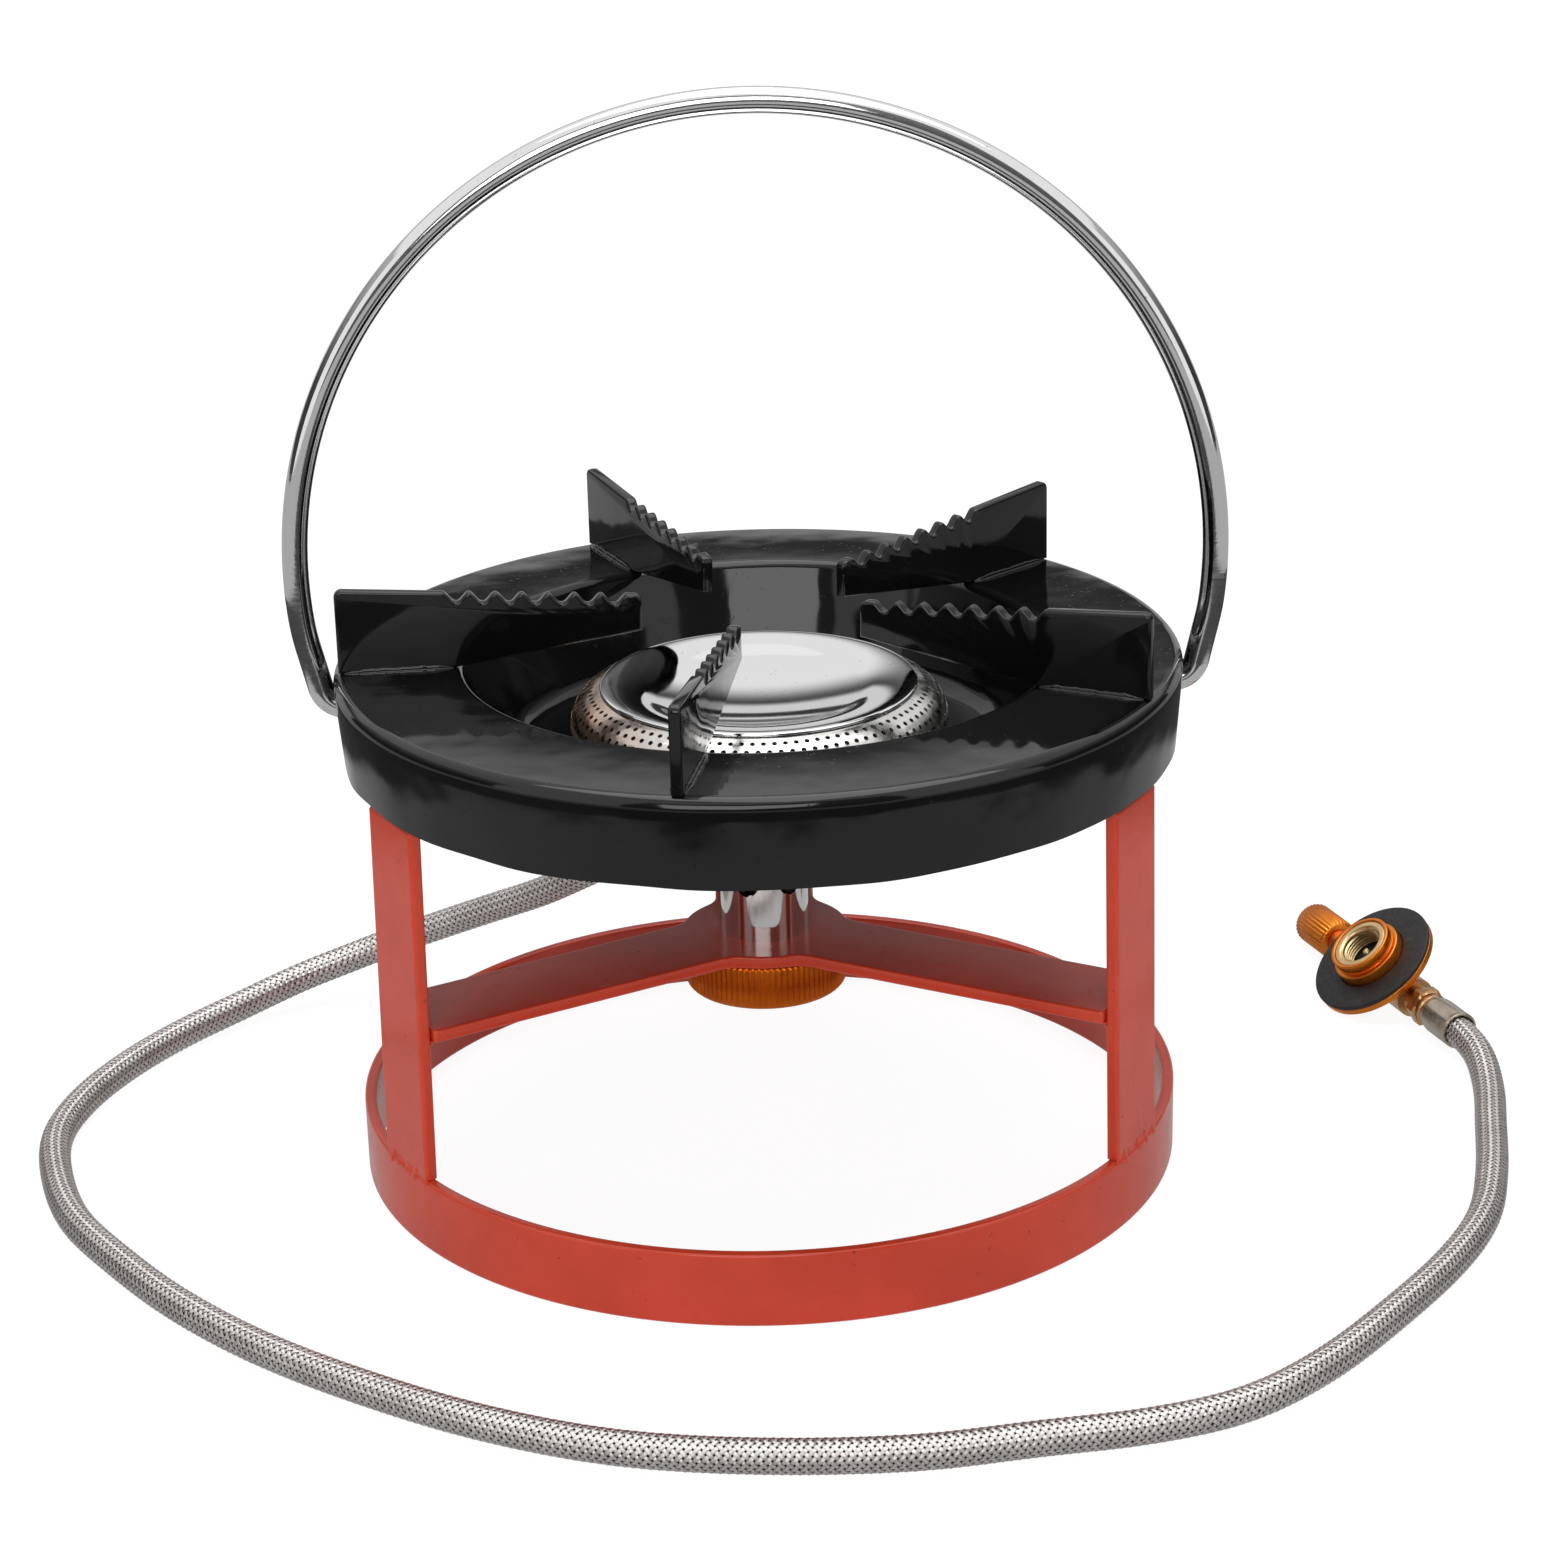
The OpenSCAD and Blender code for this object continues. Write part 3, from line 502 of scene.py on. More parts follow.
def braid(frames):
    """Flat bands of wire that run round the hose both ways, one over and one under"""
    points, faces, uvs = [], [], []
    for way in (1, -1):
        for carrier in range(CARRIERS):
            start = len(points)
            for k, (at, ahead, side, other) in enumerate(frames):
                along = k * BRAID_STEP
                turn = TAU * (carrier / CARRIERS + way * along / BRAID_LEAD)
                crossing = 2 * CARRIERS * along / BRAID_LEAD + 2 * way * carrier
                lift = WEAVE * way * sin(pi * (crossing + 0.5))
                out = side * cos(turn) + other * sin(turn)
                round_dir = other * cos(turn) - side * sin(turn)
                lean = ahead * BRAID_LEAD + round_dir * (way * TAU * BRAID_MID)
                across = out.cross(lean).normalized() * (BAND_W / 2)
                middle = at + out * (BRAID_MID + lift)
                points += [middle - across, middle + out * CROWN, middle + across]
                uvs += [(u, along * WIRE_MARKS) for u in (0.0, 0.5, 1.0)]
            for k in range(len(frames) - 1):
                for j in range(3):
                    a, b = start + 3 * k + j, start + 3 * k + (j + 1) % 3
                    faces.append((a, a + 3, b + 3, b))
            last = start + 3 * (len(frames) - 1)
            faces += [(start, start + 1, start + 2), (last + 2, last + 1, last)]
    return points, faces, uvs


def make_hose():
    path = hose_path(4)
    frames = even_frames(path, BRAID_STEP)
    points, faces, uvs = braid(frames)
    looks = [0] * len(faces)
    core, core_faces = loft([
        [at + LINER_R * (side * cos(a) + other * sin(a)) for a in bearings(LINER_SIDES)]
        for at, ahead, side, other in frames[::LINER_STEP]])
    base = len(points)
    faces += [tuple(base + i for i in f) for f in core_faces]
    looks += [1] * len(core_faces)
    uvs += [(0.5, 0.0)] * len(core)
    hose = piece("braided_hose", points + core, faces, [WIRE, LINER], "stand", 60, looks, uvs)
    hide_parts("gas_hose")
    return hose, path


# ---- drip pan and pot supports

PAN_R, _, PAN_TOP = far_corner("drip_pan")
PAN_SHEET = 1.5
SKIRT_H = 22.6
SKIRT_DRAFT = 1.2
EDGE_ROUND = 3.2
MOUTH_R = 72.2
MOUTH_ROUND = 3
BOWL_R = 57
BOWL_DEPTH = 26.7
BOWL_ROUND = 8
FLOOR_RISE = 5
PAN_HOLE = 14.8
PAN_TURNS = 192
LIP_STEPS = 8
LIP_BAND = 4
BORE_ROWS = (3, 7)
BORE_IN_SKIRT = 3.8


def pan_path(inset):
    """The pan's section from its lip to its centre hole, moved in from the upper side by inset"""
    mouth = (MOUTH_R + MOUTH_ROUND, PAN_TOP - MOUTH_ROUND)
    bowl = (BOWL_R, PAN_TOP - BOWL_DEPTH + BOWL_ROUND)
    across, down = bowl[0] - mouth[0], bowl[1] - mouth[1]
    lean = (degrees(atan2(down, across)) + 360
            - degrees(acos((MOUTH_ROUND + BOWL_ROUND) / hypot(across, down))))
    foot = 270 + FLOOR_RISE
    slope = tan(radians(FLOOR_RISE))
    floor = arc(*bowl, BOWL_ROUND + inset, lean + 180, foot, 10)
    r, z = floor[-1]
    lip = [(PAN_R - inset - SKIRT_DRAFT * (1 - k / LIP_STEPS),
            PAN_TOP - SKIRT_H + (SKIRT_H - EDGE_ROUND) * k / LIP_STEPS) for k in range(LIP_STEPS)]
    return (lip + arc(PAN_R - EDGE_ROUND, PAN_TOP - EDGE_ROUND, EDGE_ROUND - inset, 0, 90, 10)
            + arc(*mouth, MOUTH_ROUND - inset, 90, lean, 8) + floor
            + [(PAN_HOLE, z - (r - PAN_HOLE) * slope)])


def ripple(t, seed):
    """An uneven wave between about -1 and 1"""
    return (sin(t + seed) + sin(t * 2.3 + seed * 1.7) + sin(t * 4.1 + seed * 2.9)) / 3


def skirt_dent(a, depth):
    """How far the skirt stands out, in mm, at a bearing and a depth between 0 and 1 below the top"""
    waves = 0.16 * sin(7 * a + 1) + 0.12 * sin(17 * a) + 0.08 * sin(29 * a + 2)
    return depth * (waves - 0.3)


def on_skirt(column, y, z, side):
    """The point of a skin at y and z, between the points of the skirt's middle column there"""
    for a, b in zip(column, column[1:]):
        if min(a.z, b.z) <= z <= max(a.z, b.z):
            r = a.xy.length + (b.xy.length - a.xy.length) * (z - a.z) / (b.z - a.z)
            return Vector((side * sqrt(r * r - y * y), y, z))


def bore_skirt(points, faces, n, middle, side):
    """Cuts the hole for the bail's end: a block of cells gives way to rings of faces round the hole"""
    low, high = BORE_ROWS
    columns = [(middle + j) % PAN_TURNS for j in range(-2, 3)]
    corners = ([(columns[0], k) for k in range(low, high)] + [(c, high) for c in columns[:-1]]
               + [(columns[-1], k) for k in range(high, low, -1)] + [(c, low) for c in columns[:0:-1]])
    block, rims = set(), []
    for row in (lambda k: k, lambda k: n - 1 - k):
        block |= {c * n + row(k) for c in columns for k in range(low, high + 1)}
        column = [points[middle * n + row(k)] for k in range(low, high + 1)]
        outer = [c * n + row(k) for c, k in corners]
        inner = list(range(len(points), len(points) + len(outer)))
        for i in outer:
            away = Vector((points[i].y, points[i].z - PIVOT_Z * MM)).normalized() * BORE_IN_SKIRT * MM
            points.append(on_skirt(column, away.x, away.y + PIVOT_Z * MM, side))
        rims.append((outer, inner))
    (edge_a, hole_a), (edge_b, hole_b) = rims
    faces[:] = [f for f in faces if not block.issuperset(f)]
    faces += strip(edge_a, hole_a) + strip(hole_a, hole_b) + strip(hole_b, edge_b)


def make_pan():
    """The pressed pan: its skirt and lip wave a little, as thin enamelled sheet does"""
    outline = pan_path(0) + list(reversed(pan_path(PAN_SHEET)))
    points, faces = lathe(outline, PAN_TURNS)
    lip = (PAN_TOP - SKIRT_H) * MM
    for p in points:
        a = atan2(p.y, p.x)
        depth = max(0.0, min(1.0, (PAN_TOP * MM - p.z) / (SKIRT_H * MM)))
        if hypot(p.x, p.y) > (PAN_R - 6) * MM:
            p.xy = p.xy * (1 + skirt_dent(a, depth) / PAN_R)
            lift = 0.3 + 0.3 * sin(11 * a) * sin(4 * a)
            p.z += max(0.0, 1 - (p.z - lip) / (LIP_BAND * MM)) * MM * lift
    bore_skirt(points, faces, len(outline), 0, 1)
    bore_skirt(points, faces, len(outline), PAN_TURNS // 2, -1)
    stand_in("enamelled_pan", (points, faces), [ENAMEL], "drip_pan", 35)


CLAW_T = 3.0
CLAW_IN = 28.4
CLAW_OUT = 103.4
CLAW_FOOT = 74.8
CLAW_H = 21.2
CLAW_FALL = tan(radians(3.9))
CLAW_BITE = 77.0
CLAW_ROUND = 1.8
CLAW_EDGE = 0.75
TIP_H = 9.2
TEETH = 7
TIP_L = 3.4
TOOTH_PITCH = (CLAW_BITE - CLAW_IN - TIP_L) / TEETH
TOOTH_DEPTH = 2.5
TOOTH_STEPS = 14
CLAW_TURNS = {"front": -101.6, "right": -26.9, "back_right": 41.2, "back_left": 113.9, "left": 184.3}


def claw_top(x):
    return CLAW_H - (CLAW_OUT - x) * CLAW_FALL


def claw_outline():
    """A pot support's side view: a welded foot, a toothed top and an undercut tip"""
    outline = [(CLAW_FOOT, 0.0), (CLAW_OUT, 0.0)]
    outline += arc(CLAW_OUT - CLAW_ROUND, CLAW_H - CLAW_ROUND, CLAW_ROUND, 0, 94, 6)
    for k in range(TEETH * TOOTH_STEPS + 1):
        x = CLAW_BITE - k * TOOTH_PITCH / TOOTH_STEPS
        outline.append((x, claw_top(x) - TOOTH_DEPTH * (1 - cos(TAU * k / TOOTH_STEPS)) / 2))
    outline += arc(CLAW_IN + CLAW_ROUND, claw_top(CLAW_IN) - CLAW_ROUND, CLAW_ROUND, 94, 180, 6)
    outline.append((CLAW_IN, claw_top(CLAW_IN) - TIP_H))
    return outline


def drawn_in(outline, depth):
    """The outline moved inwards; it runs anticlockwise"""
    moved = []
    for k, here in enumerate(outline):
        before, after = Vector(outline[k - 1]), Vector(outline[(k + 1) % len(outline)])
        a, b = (Vector(here) - before).normalized(), (after - Vector(here)).normalized()
        inward = Vector((-a.y - b.y, a.x + b.x)).normalized()
        reach = depth / max(0.6, inward.dot(Vector((-a.y, a.x))))
        moved.append(tuple(Vector(here) + inward * reach))
    return moved


def make_claw(name, bearing):
    """A pot support: a plate whose edges are rounded by its enamel"""
    outline = claw_outline()
    turn = Matrix.Rotation(radians(bearing), 4, "Z")
    rings = []
    flat = CLAW_T / 2 - CLAW_EDGE
    for y, inset in arc(-flat, 0, CLAW_EDGE, 180, 90, 4) + arc(flat, 0, CLAW_EDGE, 90, 0, 4):
        rings.append([turn @ (Vector((x, y, z + PAN_TOP)) * MM)
                      for x, z in drawn_in(outline, CLAW_EDGE - inset)])
    stand_in("claw_" + name, loft(rings), [ENAMEL], "pot_support_" + name, 50)


# ---- burner

PORT_ROWS = 4
PORTS = 100
PORT_C = 38
PORT_ROUND = 9.2
PORT_WALL = 1.0
PORT_TOP = radians(80)
PORT_R = 0.66
ROW_PITCH = 2.55
ROWS_FROM = 1.5
HEAD_Z = 114.5


def ring_point(turn, along, depth):
    """A point of the burner ring: turn is its bearing, along runs up its rounded wall"""
    a = along / PORT_ROUND
    wall = PORT_ROUND - depth
    return around(PORT_C + wall * cos(a), turn, HEAD_Z + wall * sin(a)) * MM


def port_skin(depth, points, faces):
    """One skin of the ring with its holes; returns its rings and its holes, as loops of points"""
    half = 2 * PORTS

    def add(turn, along):
        points.append(ring_point(turn, along, depth))
        return len(points) - 1

    edges = [0.0] + [ROWS_FROM + k * ROW_PITCH for k in range(PORT_ROWS + 1)] + [PORT_TOP * PORT_ROUND]
    rings = [[add(a, e) for a in bearings(half)] for e in edges]
    faces += strip(rings[0], rings[1]) + strip(rings[-2], rings[-1])
    holes = []
    for row in range(PORT_ROWS):
        low, high = rings[row + 1], rings[row + 2]
        middle = edges[row + 1] + ROW_PITCH / 2
        reach = PORT_C + PORT_ROUND * cos(middle / PORT_ROUND)
        first = row % 2
        sides = [add(TAU * (2 * i + first) / half, middle) for i in range(PORTS)]
        for i in range(PORTS):
            a, b, c = [(2 * i + first + step) % half for step in range(3)]
            cell = [low[a], low[b], low[c], sides[(i + 1) % PORTS], high[c], high[b], high[a], sides[i]]
            centre = TAU * (2 * i + first + 1) / half
            hole = [add(centre + x / reach, y) for x, y in arc(0, middle, PORT_R, 225, 540, 7)]
            faces += strip(cell, hole)
            holes.append(hole)
    return rings, holes


def make_port_ring():
    """The ported ring: two skins, joined at their edges and round every hole"""
    points, faces = [], []
    outer, outer_holes = port_skin(0.0, points, faces)
    inward = []
    inner, inner_holes = port_skin(PORT_WALL, points, inward)
    faces += [face[::-1] for face in inward] + strip(inner[0], outer[0]) + strip(outer[-1], inner[-1])
    for one, other in zip(outer_holes, inner_holes):
        faces += strip(one, other)
    stand_in("burner_ports", (points, faces), [STEEL], "port_ring", 35)


CAP_TOP = far_corner("burner_cap")[2]
CAP_R = 39.6
CAP_T = 1.0
DISH_R = 26.9
CAP_FALL = 2.0
DISH_DEPTH = 3.0
LIP_R = 38.0
LIP_H = 1.6


def make_cap():
    """The polished cap: a rim that falls to a shallow dish, one smooth curve from edge to middle"""
    dish = [(DISH_R * k / 20, CAP_TOP - CAP_FALL - DISH_DEPTH * (1 - (k / 20) ** 2)) for k in range(21)]
    edge_r, under_z = CAP_R - CAP_T / 2, CAP_TOP - CAP_T
    rim = [(DISH_R + (edge_r - DISH_R) * k / 8, CAP_TOP - CAP_FALL * (1 - k / 8) ** 2) for k in range(1, 9)]
    edge = arc(edge_r, CAP_TOP - CAP_T / 2, CAP_T / 2, 90, -90, 8)[1:]
    lip = [(LIP_R, under_z), (LIP_R, under_z - LIP_H), (LIP_R - 1, under_z - LIP_H), (LIP_R - 1, under_z)]
    under = [(r, z - CAP_T) for r, z in reversed(dish)]
    stand_in("polished_cap", lathe(dish + rim + edge + lip + under, 160), [CAP], "burner_cap")


NECK_IN = 11.15
NECK_R = 13.6
NECK_L = 8
TUBE_TOP = 106.5
RIM_STEP = 5
RIM_RISE = 3.5


def make_bowl():
    """The pressed bowl under the ports: a neck, a flared wall and a rim that turns up"""
    head_r, head_z = PORT_C + PORT_ROUND, HEAD_Z
    outside = [(NECK_R, TUBE_TOP - NECK_L), (NECK_R, TUBE_TOP - CAP_T), (NECK_R + RIM_RISE, TUBE_TOP),
               (head_r - RIM_STEP, head_z - RIM_RISE), (head_r - CAP_T, head_z - RIM_RISE / 2),
               (head_r, head_z - 0.1)]
    inside = [(head_r - CAP_T, head_z - 0.1), (head_r - 2 * CAP_T, head_z - CAP_T),
              (head_r - RIM_STEP, head_z - RIM_RISE + 1.4 * CAP_T), (NECK_R + RIM_RISE, TUBE_TOP + CAP_T),
              (NECK_IN, TUBE_TOP + CAP_T / 4), (NECK_IN, TUBE_TOP - NECK_L)]
    skin = lathe(soften(outside + inside, 0.9), 128)
    stand_in("pressed_bowl", skin, [STEEL], "burner_bowl", 35)


NUT_TOP = far_corner("clamp_nut")[2]
NUT_H = 11.4
CLAMP_R = 20.4
CLAMP_RIBS = 84
RIB_DEPTH = 0.45
SPIGOT_R = 7.06
RECESS_R = 15.4
NUT_WEB = 3


def ribbed(stations, ribs, depth, place=Matrix.Identity(4)):
    """A turned piece with upright ribs: a station is (height, radius, how deep its ribs are)"""
    def shape(a, r, rib):
        return r - depth * rib * (0.5 - 0.5 * cos(ribs * a)) ** 0.7

    return turned(stations, ribs * 6, shape, place)


def ribbed_side(low, high, r):
    """Stations up a ribbed side between two plain rounded ends"""
    return [(low, r - 1.0, 0), (low + 0.4, r - 0.5, 0.3), (low + 1.1, r, 1),
            (high - 1.1, r, 1), (high - 0.4, r - 0.5, 0.3), (high, r - 1.0, 0)]


def make_clamp_nut():
    """The hand nut: fine upright ribs between two plain rounded ends, and a recess below"""
    base = NUT_TOP - NUT_H
    inside = [(NUT_TOP, SPIGOT_R, 0), (base + NUT_WEB, SPIGOT_R, 0), (base + NUT_WEB, RECESS_R, 0),
              (base, RECESS_R, 0)]
    skin = ribbed(ribbed_side(base, NUT_TOP, CLAMP_R) + inside, CLAMP_RIBS, RIB_DEPTH)
    # the nut's darker orange is painted shade from the bracket above it
    stand_in("ribbed_hand_nut", skin, [SHADED_ORANGE], "clamp_nut", 50, "clamp_nut")


# ---- base ring and bail

RING_R, _, RING_TOP = far_corner("base_ring")
RING_WALL = 3.0


def make_base_ring():
    """The band that the stand rests on, with its edges rounded by the paint"""
    outline = soften([(RING_R - RING_WALL, 0), (RING_R, 0), (RING_R, RING_TOP),
                      (RING_R - RING_WALL, RING_TOP)], 0.9, 4)
    stand_in("base_band", lathe(held(outline), 192), [PAINT], "base_ring")


ROD_R = 3.18
ROD_SIDES = 32
ROD_END = 98.5
PIVOT_Z = 121.5
BEND_R = 6.0
END_LEAN = 13
EASE_R = 60.0
BAIL_LEAN = 6
BAIL_R = 113.1
BAIL_Z = 155.8
BAIL_SHIFT = 0.4


def bail_path():
    """The rod's centre line in mm, from inside the skirt's hole on +X over to the other one"""
    lean, end_lean = radians(BAIL_LEAN), radians(END_LEAN)
    inner = BAIL_R - EASE_R
    ease = arc(inner * cos(lean), BAIL_Z - inner * sin(lean), EASE_R, -END_LEAN, -BAIL_LEAN, 6)
    low_x, low_z = ease[0]
    rise = low_z - PIVOT_Z - BEND_R * (1 - sin(end_lean))
    bend_x = low_x - rise * tan(end_lean) - BEND_R * cos(end_lean)
    half = [(ROD_END, PIVOT_Z)] + arc(bend_x, PIVOT_Z + BEND_R, BEND_R, -90, -END_LEAN, 10) + ease
    half += arc(0, BAIL_Z, BAIL_R, -BAIL_LEAN, 90, 72)[1:]
    return half + [(-x, z) for x, z in reversed(half[:-1])]


def make_bail():
    line = [Vector((x + BAIL_SHIFT, 0, z)) * MM for x, z in bail_path()]
    back = Vector((0, 1, 0))
    rings = []
    for k, at in enumerate(line):
        ahead = (line[min(k + 1, len(line) - 1)] - line[max(k - 1, 0)]).normalized()
        out = back.cross(ahead)
        rings.append([at + (out * cos(a) + back * sin(a)) * ROD_R * MM for a in bearings(ROD_SIDES)])
    stand_in("chromed_bail", loft(rings), [ROD], "bail", 50, "bail")


# ---- fittings

def along_axis(at, ahead):
    """A matrix whose Z runs along a level direction, from the point at in mm"""
    side = UP.cross(ahead).normalized()
    return Matrix.Translation(at * MM) @ Matrix((side, ahead.cross(side), ahead)).transposed().to_4x4()


def polygon_r(turn, sides, flat):
    """Distance to the edge of a regular polygon whose flats are at that distance"""
    step = TAU / sides
    return flat / cos((turn % step) - step / 2)


NUT_L = 6.0
NUT_FLAT = 4.763
NUT_CORNER = NUT_FLAT / cos(pi / 6)
NUT_BORE = 3.25
NUT_ENDS = (0.45, 3.5)
NUT_GROOVE = [(4.0, 0.96), (4.05, 0.84), (4.65, 0.84), (4.7, 0.96), (5.6, 0.98), (NUT_L, 0.9)]
FERRULE_L = 14.0
FERRULE_R = 5.1
FERRULE_BORE = 4.5
FERRULE_SEAT = FERRULE_L - 3
FERRULE_SIDE = [
    (0.0, 0.80, 0), (0.5, 0.88, 0), (1.6, 0.90, 0), (2.1, 0.97, 0.3), (3.0, 1, 1), (12.2, 1, 1),
    (12.9, 0.99, 0.4), (13.3, 1, 0), (13.8, 1, 0), (FERRULE_L, 0.965, 0)]


def make_nut(name, node, place):
    """A hexagon nut with chamfered corners and a turned groove beside its flats"""
    def shape(a, limit):
        return min(polygon_r(a, 6, NUT_FLAT), limit)

    stations = [(0.0, NUT_FLAT * 0.97)] + [(x, NUT_CORNER) for x in NUT_ENDS]
    stations += [(x, NUT_FLAT * share) for x, share in NUT_GROOVE] + [(NUT_L, NUT_BORE), (0.0, NUT_BORE)]
    stand_in(name, turned(stations, 72, shape, place), [BRONZE], node, 30)


def make_ferrule(name, node, place):
    """A sleeve crimped to eight flats, with a round neck and a rolled mouth"""
    def shape(a, r, crimp):
        return (1 - crimp) * r + crimp * min(polygon_r(a, 8, r * 0.945), r)

    stations = [(x, FERRULE_R * share, crimp) for x, share, crimp in FERRULE_SIDE]
    stations += [(FERRULE_L, FERRULE_BORE, 0), (FERRULE_SEAT, FERRULE_BORE * 0.99, 0),
                 (FERRULE_SEAT, NUT_BORE, 0), (0.0, NUT_BORE, 0)]
    stand_in(name, turned(stations, 64, shape, place), [NICKEL], node, 25)


def make_fittings():
    """A union nut and a crimped ferrule at each end of the hose"""
    inlet = Vector((0, 0, INLET_Z))
    for end, at, ahead, reach in (("inlet", inlet, INLET_DIR, 18.1), ("outlet", VALVE_AT, VALVE_DIR, 18.9)):
        make_nut(end + "_union_nut", end + "_nut", along_axis(at + reach * ahead, ahead))
        make_ferrule(end + "_crimp", end + "_ferrule", along_axis(at + (reach + NUT_L) * ahead, ahead))


ROLL = radians(38)


def canister_axes():
    """A matrix whose Z is the canister's axis, from the valve's axis up"""
    turn = Matrix.Rotation(VALVE_TURN, 4, "Z") @ Matrix.Rotation(ROLL, 4, "X")
    return Matrix.Translation(VALVE_AT * MM) @ turn


KNOB_FAR = -44.4
KNOB_NEAR = -28.4
KNOB_R = 5.9
KNOB_RIBS = 32
KNOB_RIB_DEPTH = 0.3
KNOB_BORE = 2.0
KNOB_SEAT = 3


def make_knob():
    """The valve's knob, whose ribs run along its axis from its outer end towards the valve"""
    turn = Matrix.Rotation(VALVE_TURN, 4, "Z") @ Matrix.Rotation(pi / 2, 4, "Y")
    seat = KNOB_FAR + KNOB_SEAT
    inside = [(KNOB_NEAR, KNOB_BORE, 0), (seat, KNOB_BORE, 0), (seat, 0, 0), (KNOB_FAR, 0, 0)]
    skin = ribbed(ribbed_side(KNOB_FAR, KNOB_NEAR, KNOB_R) + inside, KNOB_RIBS, KNOB_RIB_DEPTH,
                  Matrix.Translation(VALVE_AT * MM) @ turn)
    stand_in("ribbed_knob", skin, [ORANGE], "valve_knob", 50, "valve_knob")


DISC_R = 17.9
DISC_BASE = 6.1
PAD_BASE = 8.0
PAD_TOP = 9.25
FLANGE_R = 9.95
FLANGE_TOP = 12.25
COLLAR_R = 8.95
COLLAR_TOP = 15.65
INSERT_R = 7.8
INSERT_TOP = 15.35
SEAT_Z = 7.6
SEAL_TOP = 9.4
PIN_HOLE = 1.2
BORE_R = 5.6
MOUTH_BEVEL = 0.7
SPLIT = 0.05
THREAD_PITCH = 0.907
THREAD_DEPTH = 0.5
THREAD_FROM = 9.5
THREAD_TO = 14.5
THREAD_STEPS = 48
THREAD_RUNOUT = 12


def block(r0, r1, z0, z1):
    return [(r0, z0), (r1, z0), (r1, z1), (r0, z1)]


def make_adapter():
    """The disc with its collar, the rubber pad on it, and the insert and the washer in it"""
    place = canister_axes()
    disc = [(INSERT_R + SPLIT, DISC_BASE), (DISC_R, DISC_BASE), (DISC_R, PAD_BASE), (FLANGE_R, PAD_BASE),
            (FLANGE_R, FLANGE_TOP), (COLLAR_R - 0.5, FLANGE_TOP), (COLLAR_R - 0.5, FLANGE_TOP + 0.5),
            (COLLAR_R, FLANGE_TOP + 1), (COLLAR_R, COLLAR_TOP), (INSERT_R + SPLIT, COLLAR_TOP)]
    insert = [(PIN_HOLE, DISC_BASE), (INSERT_R, DISC_BASE), (INSERT_R, INSERT_TOP),
              (BORE_R + MOUTH_BEVEL, INSERT_TOP), (BORE_R, INSERT_TOP - MOUTH_BEVEL), (BORE_R, SEAT_Z),
              (PIN_HOLE, SEAT_Z)]
    pad = block(FLANGE_R + 0.1, DISC_R + 0.1, PAD_BASE, PAD_TOP)
    seal = block(PIN_HOLE + 0.4, BORE_R - 0.1, SEAT_Z, SEAL_TOP)
    for name, outline, edge, count, materials, node, slot in (
            ("collared_disc", disc, 0.35, 96, [ORANGE], "adapter_disc", "orange_anodised"),
            ("rubber_pad", pad, 0.45, 96, [RUBBER], "adapter_pad", "black_rubber"),
            ("brass_insert", insert, 0.25, 96, [BRASS, SHADED_BORE_BRASS], "thread_insert", "brass"),
            ("sealing_washer", seal, 0.5, 64, [RUBBER], "adapter_seal", "black_rubber")):
        part = stand_in(name, lathe(soften(outline, edge), count, place), materials, node)
        # the insert's bore takes the darker brass, painted shade
        if len(materials) > 1:
            paint_bore_shade(part, place)


def paint_bore_shade(part, place):
    """The second material, a darker copy of the brass that is painted shade, goes on the faces inside the
    threaded bore
    """
    axis, middle = place.to_3x3().col[2], place.translation
    for face in part.data.polygons:
        reach = face.center - middle
        height = reach.dot(axis)
        if (reach - axis * height).length < (BORE_R + 0.1) * MM and height > SEAT_Z * MM:
            face.material_index = 1


def make_thread():
    """The canister thread: a sharp ridge that winds up the insert's bore"""
    place = canister_axes()
    turns = (THREAD_TO - THREAD_FROM) / THREAD_PITCH
    steps = int(turns * THREAD_STEPS)
    root = BORE_R + SPLIT
    rings = []
    for k in range(steps + 1):
        a = TAU * turns * k / steps
        z = THREAD_FROM + (THREAD_TO - THREAD_FROM) * k / steps
        crest = BORE_R - THREAD_DEPTH * min(1.0, k / THREAD_RUNOUT, (steps - k) / THREAD_RUNOUT)
        rings.append([place @ (around(r, a, z + share * THREAD_PITCH) * MM) for r, share in (
            (root, -0.42), (crest, -0.05), (crest, 0.05), (root, 0.42))])
    piece("canister_thread_ridge", *loft(rings), [BRASS], "stand")


# ---- legs, bracket and welds

LEG_TURNS = {"rear": 89, "left": 208.7, "right": -30.5}
LEG_FACE = 103.4
LEG_LEAN = 0.0125
LEG_W = 22.8
LEG_T = 3.2
LEG_ROUND = 0.9
LEG_TOP = 131.0
LEG_BEVEL = 0.3
LEG_MIDDLE = 60
LIP_LEVELS = (-1.6, -1.2, -0.4, 3, 8, 14)
PLATE_TOP = far_corner("bracket")[2]
PLATE_T = 3.2
PLATE_EDGE = 0.6
PLATE_HOLE = 7.2
HUB_R = 21
ARM_W = 25.4
ARM_END = 99.4
ARM_FILLET = 8
ARM_CORNER = 1


def leg_face(z):
    """Radius of a leg's outer face at a height in mm: the legs lean in a little"""
    return LEG_FACE - (z - RING_TOP) * LEG_LEAN


def skirt_inside(a, z):
    """Radius of the inside of the pan's skirt"""
    depth = min(1.0, (PAN_TOP - z) / SKIRT_H)
    straight = PAN_R - PAN_SHEET - SKIRT_DRAFT * depth
    return straight * (1 + skirt_dent(a, depth) / PAN_R)


